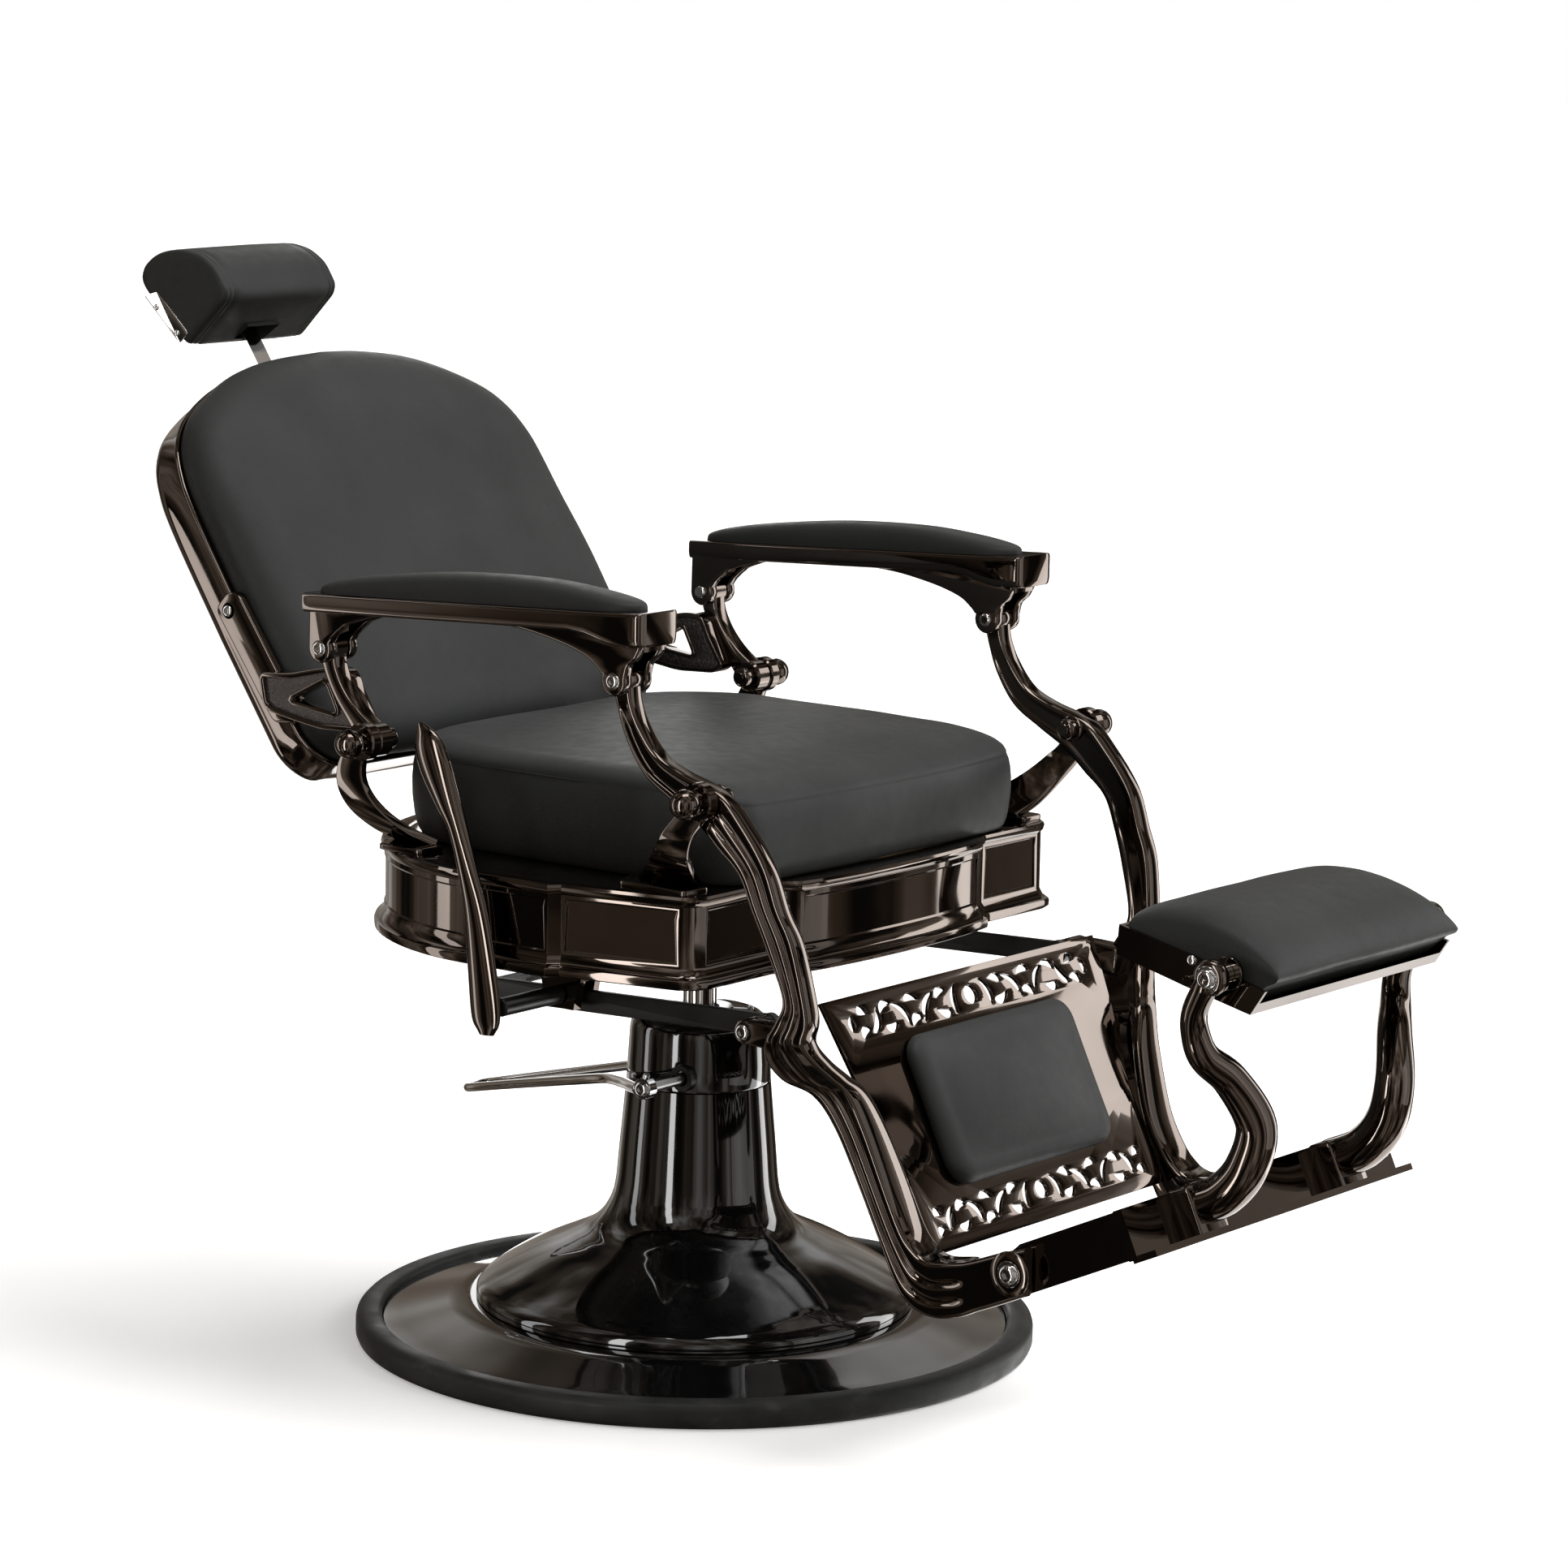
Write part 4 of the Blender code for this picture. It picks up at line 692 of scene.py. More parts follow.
def make_sleeve():
    """Top cover with its domed lid and lid screws, and a round boss where the shaft comes out."""
    outer = [(0.019, 0.34), (0.02, 0.3413), (0.033, 0.3415), (0.0345, 0.34), (0.045, 0.3392)]
    outer += smooth([(0.054, 0.3378), (0.0625, 0.3345), (0.0682, 0.328), (0.0702, 0.32)], 4)
    outer += [(0.0712, 0.305), (0.0722, 0.288), (0.0733, 0.2685), (0.0727, 0.2664)]
    inner = [(0.069, 0.2664), (0.0665, 0.32), (0.06, 0.331), (0.044, 0.336), (0.019, 0.337)]
    cover = turned(outer + inner, COVER_STEPS, closed=True)
    piece("pedestal_cover", "base", ENAMEL, [cover], ["pedestal_sleeve"], 40)
    bosses = [tube(PUMP_SHAFT, side, 0.06, 0.069, 0.0075, 0.0135) for _, side in SIDES]
    piece("shaft_bosses", "base", SATIN, bosses)
    screws = []
    for number in range(LID_SCREWS):
        angle = math.radians(45 + 360 / LID_SCREWS * number)
        spot = (LID_SCREW_CIRCLE * math.cos(angle), LID_SCREW_CIRCLE * math.sin(angle), 0.3384)
        screws.append(cross_screw(facing(spot, (0, 0, 1)), 0.0035, 0.0018))
    piece("lid_screws", "base", CHROME, screws)


def make_pump():
    kept("pump_cylinder")
    kept("pump_plunger")
    shaft = cylinder(PUMP_SHAFT, 1, -0.131, 0.131, 0.006, 0.001)
    arm = [(0.008, 0.277), (0.034, 0.2745), (0.034, 0.2895), (0.008, 0.287)]
    piece("pump_cross_shaft", "pump_lever", STEEL, [shaft, plate(arm, -1, 0.0515, 0.061)], ["pump_shaft"])
    reach = 0.1245
    half = [(0.023, reach, 0.28), (0.005, 0.112, 0.2775), (-0.028, 0.088, 0.2725)]
    half += [(-0.072, 0.061, 0.2645), (-0.124, 0.048, 0.2525), (-0.18, 0.0375, 0.2395)]
    half += [(-0.24, 0.0275, 0.2255), (-0.286, 0.0195, 0.2145), (-0.3, 0.013, 0.2112)]
    line = half + [(-0.3045, 0.0, 0.21)] + [(x, -y, z) for x, y, z in reversed(half)]
    line = smooth(line, 5)
    thick = [0.0043 + 0.0017 * min(1.0, abs(p.y) / 0.09) for p in line]
    shells = [bar(line, thick, 20)]
    for _, side in SIDES:
        shells.append(tube(PUMP_SHAFT, side, 0.1185, 0.1305, 0.0062, 0.0108, 0.001))
        shells.append(socket_head(outward(PUMP_SHAFT, side, 0.131), 0.0074, 0.003))
        pinch = facing((PUMP_SHAFT[0], side * 0.1245, PUMP_SHAFT[1] + 0.01), (0.45, 0, 1))
        shells.append(placed(turned([(AXIS, 0), (0.0034, 0), (0.0034, 0.0048), (AXIS, 0.0048)], 24), pinch))
    piece("pump_handle", "pump_lever", CHROME, shells, ["pump_lever"])
    ram = [(AXIS, 0.446), (0.016, 0.446), (0.017, 0.445), (0.017, 0.076), (0.016, 0.075), (AXIS, 0.075)]
    piece("ram", "piston", CHROME, [turned(ram, 96)], ["piston"])


# ---------------------------------------------------------------- seat

FRAME_BOTTOM, FRAME_TOP, FRAME_WALL = 0.432, 0.522, 0.006
PANEL_LOW, PANEL_HIGH, ANYWHERE = 0.453, 0.511, 1.0

# Sunk panels of each side of the skirt: reach from and to, x from and to
SKIRT_PANELS = [
    (0.285, ANYWHERE, 0.086, 0.206),
    (0.177, 0.266, 0.215, ANYWHERE),
    (0.1, ANYWHERE, -0.262, -0.022),
    (0.3, ANYWHERE, -0.018, 0.076),
]


def seat_plan():
    """Bow front, stepped corner blocks and a round back."""
    bow = smooth([(0.25, 0), (0.2485, 0.06), (0.244, 0.115), (0.239, 0.145)], 5)
    block = [(0.226, 0.16), (0.222, 0.175), (0.222, 0.268), (0.218, 0.28), (0.208, 0.2885)]
    side = [(0.085, 0.3165), (0.077, 0.327)]
    rear = arc((-0.02, 0.08), 0.25, 90, 180, 30)
    return mirrored_plan(bow + block + side + rear + [(-0.27, 0)])


def cushion_plan():
    front = [(0.235, 0), (0.234, 0.06), (0.2325, 0.11)]
    corner = arc((0.179, 0.189), 0.05, 15, 80, 12)
    side = [(0.12, 0.247), (0.06, 0.249), (-0.03, 0.25)]
    rear = arc((-0.105, 0.12), 0.13, 90, 180, 18)
    return mirrored_plan(front + corner + side + rear + [(-0.235, 0)])


def make_skirt():
    """Skirt casting: moulded foot and lip, a deck, and sunk panels on the blocks and the bow."""
    plan = [Vector(p) for p in seat_plan()]
    panels = [(1, -ANYWHERE, ANYWHERE, 0.236, ANYWHERE)]
    panels += [(side, *row) for _, side in SIDES for row in SKIRT_PANELS]
    levels = [(FRAME_BOTTOM + 0.001, 0.007), (FRAME_BOTTOM + 0.0025, 0.0095), (0.44, 0.01)]
    levels += [(0.4425, 0.009), (0.444, 0.0055), (0.447, 0.003), (0.4505, 0.0012), (0.453, 0.0)]
    levels += [(0.499, 0.0), (0.511, 0.0), (0.5135, 0.0022), (0.5185, 0.0034), (0.5212, 0.0022)]
    levels += [(0.5222, -0.0004)]
    inner = [(0.5222, -0.02), (0.517, -0.02), (0.5155, -FRAME_WALL), (FRAME_BOTTOM + 0.001, -FRAME_WALL)]
    rings = [[(p.x, p.y, z) for p in offset(plan, out)] for z, out in levels + inner]
    cage = cage_of([loft(rings, closed=True)])
    bmesh.ops.recalc_face_normals(cage, faces=cage.faces)

    for side, near, far, rear, front in panels:
        chosen = []
        for face in cage.faces:
            middle = face.calc_center_median()
            outer = face.normal.x * (middle.x + 0.02) + face.normal.y * middle.y > 0
            wall = PANEL_LOW < middle.z < PANEL_HIGH and abs(face.normal.z) < 0.1 and outer
            if wall and near < side * middle.y < far and rear < middle.x < front:
                chosen.append(face)
        bmesh.ops.inset_region(cage, faces=chosen, thickness=0.005, depth=0.0)
        bmesh.ops.inset_region(cage, faces=chosen, thickness=0.002, depth=-0.0014)
    made = piece("seat_skirt", "seat", DARK_PLATE, [shell_of(cage)], ["seat_frame"], sharp=28)
    bevelled(made, 0.0012, 28)
    deck = resampled(offset(plan, -0.012), 200)
    hole = resampled(offset(cushion_plan(), -0.03), 160)
    top = slab([deck, hole], 0.516, FRAME_TOP, 0.0006, FLAT)
    piece("seat_deck", "seat", DARK_PLATE, [top])
    tail = facing((-0.2725, 0, 0.474), (-1, 0, 0))
    piece("skirt_screw", "seat", CHROME, [socket_head(tail, 0.0048, 0.0034, lip=0.0012)])


def soften(points, amount, scale, seed):
    """Small uneven swells, as stuffed leather has."""
    shift = Vector((seed, seed * 0.7, seed * 0.3))
    return [tuple(Vector(p) + amount * noise.noise_vector(Vector(p) * scale + shift)) for p in points]


def pillow(plan, levels, crown, matrix, swell=0.0009, seed=1.0, middle=(0.0, 0.0)):
    """A stuffed shape on a plan: levels are (height, distance outwards), and a soft dome closes it."""
    middle = Vector(middle)
    rings = [[(p.x, p.y, height) for p in offset(plan, out)] for height, out in levels]
    last, top = [Vector(p[:2]) - middle for p in rings[-1]], levels[-1][0]
    wide, tall = (max(abs(p[axis]) for p in last) for axis in (0, 1))
    steps = 16
    for i in range(1, steps + 1):
        share = max(1 - (i / steps) ** 1.15, 0.01)
        ring = []
        for spot in (p * share for p in last):
            fall = (1 - abs(spot.x / wide) ** 2.2) * (1 - abs(spot.y / tall) ** 2.2)
            ring.append((*(middle + spot), top + crown * fall * (1 - share**9)))
        rings.append(ring)
    points, faces = loft(rings)
    points = [tuple(matrix @ Vector(p)) for p in points]
    return soften(points, swell, 11.0, seed), faces


def seam_line(plan, height, out, matrix, radius=0.0011):
    """A thin cord sewn along a plan at a height, as a closed tube."""
    line = [matrix @ Vector((p.x, p.y, height)) for p in offset(plan, out)]
    sections = []
    normal = matrix.to_3x3() @ Vector((0, 0, 1))
    for i, here in enumerate(line):
        along = (line[(i + 1) % len(line)] - line[i - 1]).normalized()
        other = along.cross(normal)
        ring = [math.radians(45 * k) for k in range(8)]
        sections.append([here + radius * (normal * math.sin(a) + other * math.cos(a)) for a in ring])
    return loft(sections, closed=True)


# The cushion's front edge rolls down, and its seam goes down and in with it
ROLL_START, ROLL_LENGTH, ROLL_BASE, ROLL_HEIGHT, ROLL_DROP = 0.125, 0.11, 0.555, 0.065, 0.0135
SEAM_START, SEAM_END, SEAM_TUCK, SEAM_SINK = 0.12, 0.165, 0.008, 0.006


def make_seat_cushion():
    plan = resampled(cushion_plan(), 220)
    side = [(0.5226, -0.0095), (0.524, -0.0062), (0.528, -0.0036), (0.535, -0.0012), (0.544, 0.0004)]
    side += [(0.56, 0.0022), (0.578, 0.0026), (0.592, 0.0014), (0.6, -0.0002), (0.6052, -0.0022)]
    side += [(0.6064, -0.0027), (0.6078, -0.0028), (0.6092, -0.003), (0.6128, -0.0052), (0.6165, -0.0105)]
    side += [(0.6195, -0.018), (0.622, -0.027)]
    points, faces = pillow(plan, side, 0.0075, FLAT, 0.0014, 3.1)
    rolled = []
    for x, y, z in points:
        ahead, above = max(x - ROLL_START, 0.0) / ROLL_LENGTH, max(z - ROLL_BASE, 0.0) / ROLL_HEIGHT
        rolled.append((x, y, z - ROLL_DROP * above * ahead**2))
    padding("seat_padding", "seat", [(rolled, faces)], ["seat_cushion"])
    kept("seat_board")
    kept("seat_plate")
    points, faces = seam_line(plan, 0.6071, -0.0028, FLAT, 0.0009)
    tucked = []
    for x, y, z in points:
        sink = ramped(x, SEAM_START, SEAM_END)
        tucked.append((x - SEAM_TUCK * sink, y, z - SEAM_SINK * sink))
    piece("seat_seam", "seat", LEATHER, [(tucked, faces)])


def strap(rows, side, thickness, steps=8, ease=0.0022):
    """A flat strap whose face looks outwards: rows are (reach, z, rear x, front x)."""
    rows = smooth_rows(rows, steps)
    sections = []
    for i, (reach, z, rear, front) in enumerate(rows):
        before, after = rows[max(i - 1, 0)], rows[min(i + 1, len(rows) - 1)]
        along = Vector((after[0] - before[0], after[1] - before[1])).normalized() * thickness / 2
        near, far = (reach - along.y, z + along.x), (reach + along.y, z - along.x)
        corners = [(rear, side * near[0], near[1]), (front, side * near[0], near[1])]
        corners += [(front, side * far[0], far[1]), (rear, side * far[0], far[1])]
        sections.append(rounded(corners, ease))
    return loft(sections)


FRONT_BRACKET_ROWS = [
    (0.313, 0.622, 0.232, 0.264),
    (0.3128, 0.602, 0.22, 0.253),
    (0.3115, 0.584, 0.203, 0.24),
    (0.299, 0.562, 0.181, 0.226),
    (0.278, 0.542, 0.155, 0.216),
    (0.255, 0.5278, 0.127, 0.205),
]
REAR_POST_ROWS = [
    (0.313, 0.628, -0.188, -0.158),
    (0.313, 0.605, -0.204, -0.172),
    (0.3105, 0.582, -0.208, -0.17),
    (0.302, 0.56, -0.2, -0.156),
    (0.288, 0.542, -0.183, -0.136),
    (0.27, 0.5292, -0.166, -0.116),
]


def make_seat_brackets():
    for name, rows, hinge in (
        ("front_bracket", FRONT_BRACKET_ROWS, LEG_HINGE),
        ("rear_post", REAR_POST_ROWS, BACK_HINGE),
    ):
        foot_reach, _, rear, front = rows[-1]
        for word, side in SIDES:
            shells = [strap(rows, side, 0.0085), tube(hinge, side, 0.3065, 0.3195, 0.0071, 0.0185, 0.0016)]
            low, high = foot_reach - 0.001, foot_reach + 0.034
            corners = [(rear - 0.008, low), (front + 0.01, low), (front + 0.008, high), (rear + 0.004, high)]
            plinth = rounded([(x, side * reach) for x, reach in corners], 0.006, 5)
            shells.append(slab([plinth], 0.5215, 0.5275, 0.0015, FLAT))
            piece(f"{word}_{name}_casting", "seat", DARK_PLATE, shells, [f"{word}_{name}"])


BALL_RADIUS, BALL_REACH = 0.0145, 0.334


def make_hinge_balls():
    for name, hinge in (("front", LEG_HINGE), ("rear", BACK_HINGE)):
        for word, side in SIDES:
            dome = [(0.0115, 0.3199), (0.0118, 0.3215), (0.0092, 0.3222), (0.0088, 0.3232)]
            for i in range(15):
                angle = math.radians(-50 + 140 * i / 14)
                rim = max(BALL_RADIUS * math.cos(angle), AXIS)
                dome.append((rim, BALL_REACH + BALL_RADIUS * math.sin(angle)))
            dome = [(AXIS, 0.3199), *dome]
            shells = [
                placed(turned(dome, 56), outward(hinge, side)),
                cylinder(hinge, side, 0.27, 0.33, 0.0065),
                socket_head(inward(hinge, side, 0.2768), 0.0105, 0.0042),
                cylinder(hinge, side, 0.2765, 0.2858, 0.0105, 0.0008),
            ]
            piece(f"{word}_{name}_ball_bolt", "seat", DARK_PLATE, shells, [f"{word}_{name}_hinge_ball"])


BLADE_REACH = 0.347


def make_lever():
    """Leaf-shaped grip on a blade, its tube and the clamp screw, and their hangers."""
    line = [(0.019, 0.37), (0.018, 0.387), (0.013, 0.43), (0.004, 0.486), (-0.008, 0.53)]
    line += [(-0.02, 0.567), (-0.033, 0.592), (-0.049, 0.623), (-0.06, 0.645), (-0.069, 0.662)]
    sizes = [(0.018, 0.006), (0.036, 0.01), (0.036, 0.012), (0.029, 0.012), (0.023, 0.014)]
    sizes += [(0.022, 0.017), (0.03, 0.019), (0.038, 0.019), (0.032, 0.015), (0.007, 0.004)]
    rows = smooth_rows([(*p, *s) for p, s in zip(line, sizes)], 7)
    sections = []
    for i, (x, z, wide, thick) in enumerate(rows):
        ahead, behind = rows[min(i + 1, len(rows) - 1)], rows[max(i - 1, 0)]
        along = Vector((ahead[0] - behind[0], ahead[1] - behind[1])).normalized()
        ring = []
        for k in range(24):
            angle = 2 * math.pi * k / 24
            across = math.copysign(abs(math.cos(angle)) ** 0.9, math.cos(angle)) * wide / 2
            out = math.copysign(abs(math.sin(angle)) ** 1.15, math.sin(angle)) * thick / 2
            ring.append((x - along.y * across, -BLADE_REACH - out, z + along.x * across))
        sections.append(ring)
    piece("lever_blade", "recline_lever", DARK_PLATE, [loft(sections)], ["recline_lever"])
    shells = [
        cylinder(LEVER_HUB, -1, 0.257, 0.343, 0.009, 0.0012),
        cylinder(LEVER_HUB, -1, 0.2425, 0.27, 0.0045),
        cylinder(LEVER_HUB, -1, 0.2397, 0.2443, 0.0105),
    ]
    piece("lever_tube", "recline_lever", SATIN, shells)
    kept("lever_bracket", 0.0012)
    kept("bar_guide", 0.0012)


def make_hub():
    """Swivel socket with the flange that carries the seat plate."""
    hub = [(AXIS, 0.462), (0.084, 0.462), (0.085, 0.461), (0.085, 0.4505), (0.083, 0.4495), (0.04, 0.446)]
    hub += [(0.0345, 0.441), (0.032, 0.435), (0.032, 0.4112), (0.031, 0.41), (0.019, 0.41)]
    hub += [(0.0178, 0.4112), (0.0178, 0.448), (AXIS, 0.448)]
    piece("swivel_hub", "seat", STEEL, [turned(hub, 96)], ["seat_hub"])


# ---------------------------------------------------------------- back


def back_matrix():
    """From the back's own frame (y, u, n) to the chair's, with the origin on the back hinge."""
    sine, cosine = math.sin(BACK_ANGLE), math.cos(BACK_ANGLE)
    up, out = Vector((-sine, 0, cosine)), Vector((cosine, 0, sine))
    turn = Matrix((Vector((0, 1, 0)), up, out)).transposed().to_4x4()
    return Matrix.Translation((BACK_HINGE[0], 0, BACK_HINGE[1])) @ turn


TO_CHAIR = back_matrix()
TRAY_BACK, TRAY_FLOOR = -0.168, -0.1635
KNOB_U, KNOB_FLUTES, KNOB_CORE, FLUTE_DEPTH = 0.4, 8, 0.012, 0.045
NOTCH_TOP, NOTCH_DEPTH, NOTCH_HALF = 0.604, -0.15, 0.024
END_REACH = 0.088


def back_plan():
    """Outline of the back in (y, u), anticlockwise: straight sides under a round-shouldered arch."""
    half = [(0, 0.026), (0.09, 0.026), (0.18, 0.026)]
    half += arc((0.208, 0.076), 0.05, 290, 360, 12)
    arch = [(0.2588, 0.2), (0.256, 0.324), (0.248, 0.372), (0.233, 0.404), (0.208, 0.429)]
    arch += [(0.165, 0.453), (0.115, 0.47), (0.06, 0.479), (0, 0.482)]
    half += smooth(arch, 6)
    return half + [(-y, u) for y, u in reversed(half[1:-1])]


def make_back():
    """Dished tray with a rolled rim, and the padding that rolls softly out of it."""
    plan = resampled(back_plan(), 260)
    outside = [(TRAY_BACK, -0.012), (-0.1674, -0.0075), (-0.165, -0.003), (-0.1605, -0.0006), (-0.154, 0.0)]
    rim = [(-0.128, 0.0), (-0.1262, 0.001), (-0.124, 0.0016), (-0.1222, 0.0006), (-0.1218, -0.0014)]
    rim += [(-0.1224, -0.0034), (-0.124, -0.004)]
    inside = [(-0.156, -0.0042), (-0.162, -0.006), (TRAY_FLOOR, -0.011)]
    rings = [[(p.x, p.y, n) for p in offset(plan, out)] for n, out in outside + rim + inside]
    piece("back_shell", "back", DARK_PLATE, [placed(loft(rings), TO_CHAIR)], ["back_tray"], sharp=50)
    levels = [(TRAY_FLOOR + 0.0004, -0.013), (-0.156, -0.007), (-0.14, -0.0056), (-0.123, -0.005)]
    levels += [(-0.119, -0.0022), (-0.113, 0.0002), (-0.105, 0.0008), (-0.097, -0.0012), (-0.09, -0.0058)]
    levels += [(-0.0835, -0.0125), (-0.078, -0.0205), (-0.074, -0.03), (-0.0712, -0.04)]
    middle = (0.0, 0.255)
    body = pillow(plan, levels, 0.015, TO_CHAIR, 0.0016, 7.7, middle)
    padding("back_padding", "back", [body], ["back_cushion"])


def make_back_brackets():
    """Side castings: a screwed foot, a rimmed web with a window and a grained field, and the strap."""
    foot = [(-0.336, 0.623), (-0.302, 0.626), (-0.3085, 0.6465), (-0.385, 0.7485), (-0.4, 0.7495)]
    foot = rounded([*foot, (-0.417, 0.73)], 0.009, 5)
    web = [(-0.333, 0.64), (-0.305, 0.634), (-0.255, 0.6275), (-0.205, 0.63), (-0.192, 0.638)]
    web += [(-0.214, 0.672), (-0.222, 0.69), (-0.243, 0.692), (-0.262, 0.688), (-0.3, 0.679)]
    web = rounded([*web, (-0.34, 0.676)], 0.01, 4)
    window = rounded([(-0.297, 0.6525), (-0.234, 0.646), (-0.25, 0.676)], 0.006, 4)
    field = offset(web, -0.0055)
    rim = offset(window, 0.0045)
    line = smooth([ARMREST_REAR, (-0.227, 0.695), (-0.215, 0.672), (-0.196, 0.65), BACK_HINGE], 6)
    widths = [w[0] for w in smooth_rows([(0.022,), (0.018,), (0.017,), (0.019,), (0.029,)], 6)]
    for word, side in SIDES:
        shells = [
            plate(foot, side, 0.2592, 0.2705, ease=0.0022),
            plate(web, side, 0.268, 0.288, [field], ease=0.0012),
            plate(rim, side, 0.268, 0.2875, [window], ease=0.001),
            plate(band(line, widths), side, 0.2862, 0.3055, ease=0.003),
            tube(ARMREST_REAR, side, 0.2865, 0.3052, 0.0047, 0.0125, 0.0016),
            tube(BACK_HINGE, side, 0.286, 0.306, 0.0074, 0.0165, 0.0022),
        ]
        piece(f"{word}_back_casting", "back", DARK_PLATE, shells, [f"{word}_back_bracket"])
        floor = plate(offset(web, -0.003), side, 0.27, 0.2852, [offset(window, 0.003)], ease=0.0004)
        piece(f"{word}_back_casting_field", "back", CASTING, [floor])
        spots = ((-0.398, 0.73), (-0.333, 0.644))
        heads = [socket_head(outward(spot, side, 0.2705), 0.006, 0.0032, lip=0.0022) for spot in spots]
        piece(f"{word}_back_casting_screws", "back", CHROME, heads)


def make_headrest():
    """Half-round bolster with sewn end panels, its end plates, and the bar in its clamp."""
    front = [(0.544, -0.185), (0.556, -0.112), (0.563, -0.1035), (0.591, -0.103), (0.615, -0.114)]
    top = [(0.633, -0.132), (0.645, -0.153), (0.651, -0.172), (0.65, -0.193), (0.642, -0.2045)]
    rear = [(0.629, -0.2055), (0.602, -0.198)]
    outline = resampled(rounded(front + top + rear, 0.01, 6), 150)
    middle = sum(outline, Vector((0, 0))) / len(outline)
    half = [(0.0868, 0.6), (0.0868, 0.8), (0.0862, 0.9), (0.0848, 0.955), (0.083, 0.982), (0.0812, 0.993)]
    half += [(0.08, 0.994), (0.0792, 0.983), (0.0784, 0.983), (0.0776, 0.995)]
    half += [(0.0752, 1.001), (0.0738, 1.001), (0.0731, 0.991), (0.0724, 0.991), (0.0717, 1.001)]
    half += [(0.06, 1.006), (0.04, 1.01), (0.0243, 1.011)]
    sections = []
    for reach, scale in [(-y, s) for y, s in half] + [(y, s) for y, s in reversed(half)]:
        sections.append([(reach, *(middle + (p - middle) * scale)) for p in outline])

    def notched(section):
        return [(y, u, max(n, NOTCH_DEPTH) if u < NOTCH_TOP else n) for y, u, n in section]

    reach_in = len(half)
    for section in (sections[reach_in - 1], sections[reach_in]):
        inner = [(math.copysign(NOTCH_HALF, y), u, n) for y, u, n in notched(section)]
        sections.insert(reach_in if section[0][0] < 0 else reach_in + 1, inner)
    points, faces = placed(loft(sections), TO_CHAIR)
    points = soften(points, 0.0006, 16.0, 2.2)
    padding("head_padding", "headrest", [(points, faces)], ["headrest_cushion"])
    kept("headrest_plate", 0.0008)
    shells, screws = [], []
    for _, side in SIDES:
        flange = [(0.553, -0.191), (0.556, -0.174), (0.615, -0.188), (0.622, -0.207)]
        frame = TO_CHAIR @ Matrix(((0, 0, side, 0), (1, 0, 0, 0), (0, 1, 0, 0), (0, 0, 0, 1)))
        shells.append(slab([rounded(flange, 0.003)], 0.0866, END_REACH, 0.0004, frame))
        for u, n in ((0.564, -0.188), (0.602, -0.1985)):
            spot = TO_CHAIR @ Vector((side * END_REACH, u, n))
            screws.append(cross_screw(facing(spot, (0, side, 0)), 0.0034, 0.0018))
    piece("head_end_plates", "headrest", CHROME, shells + screws)
    kept("headrest_post", 0.0008)
    kept("headrest_sleeve", 0.0015)


def make_knob():
    """Fluted clamp knob behind the back, on its stud."""
    lobes = [(AXIS, -0.213), (0.011, -0.213), (0.0145, -0.2115), (0.0168, -0.206), (0.0168, -0.198)]
    lobes += [(0.015, -0.1942), (0.006, -0.194), (0.0034, -0.1935), (0.0034, -0.18), (AXIS, -0.18)]
    points, faces = turned(lobes, 96)
    fluted = []
    for x, y, z in points:
        waves = max(0.0, math.cos(KNOB_FLUTES * math.atan2(y, x)))
        grip = 1 - FLUTE_DEPTH * waves if math.hypot(x, y) > KNOB_CORE else 1
        fluted.append((x * grip, y * grip, z))
    lift = TO_CHAIR @ Matrix.Translation((0, KNOB_U, 0))
    piece("post_knob", "headrest_knob", PLASTIC, [placed((fluted, faces), lift)], ["headrest_knob"])


# ---------------------------------------------------------------- arm rests

CAP_REAR, CAP_REAR_X, CAP_RISE = 0.768, -0.2445, 0.022 / 0.4245


def cap_height(x):
    """Top of the arm rest's rail, which rises towards the front."""
    return CAP_REAR + (x - CAP_REAR_X) * CAP_RISE


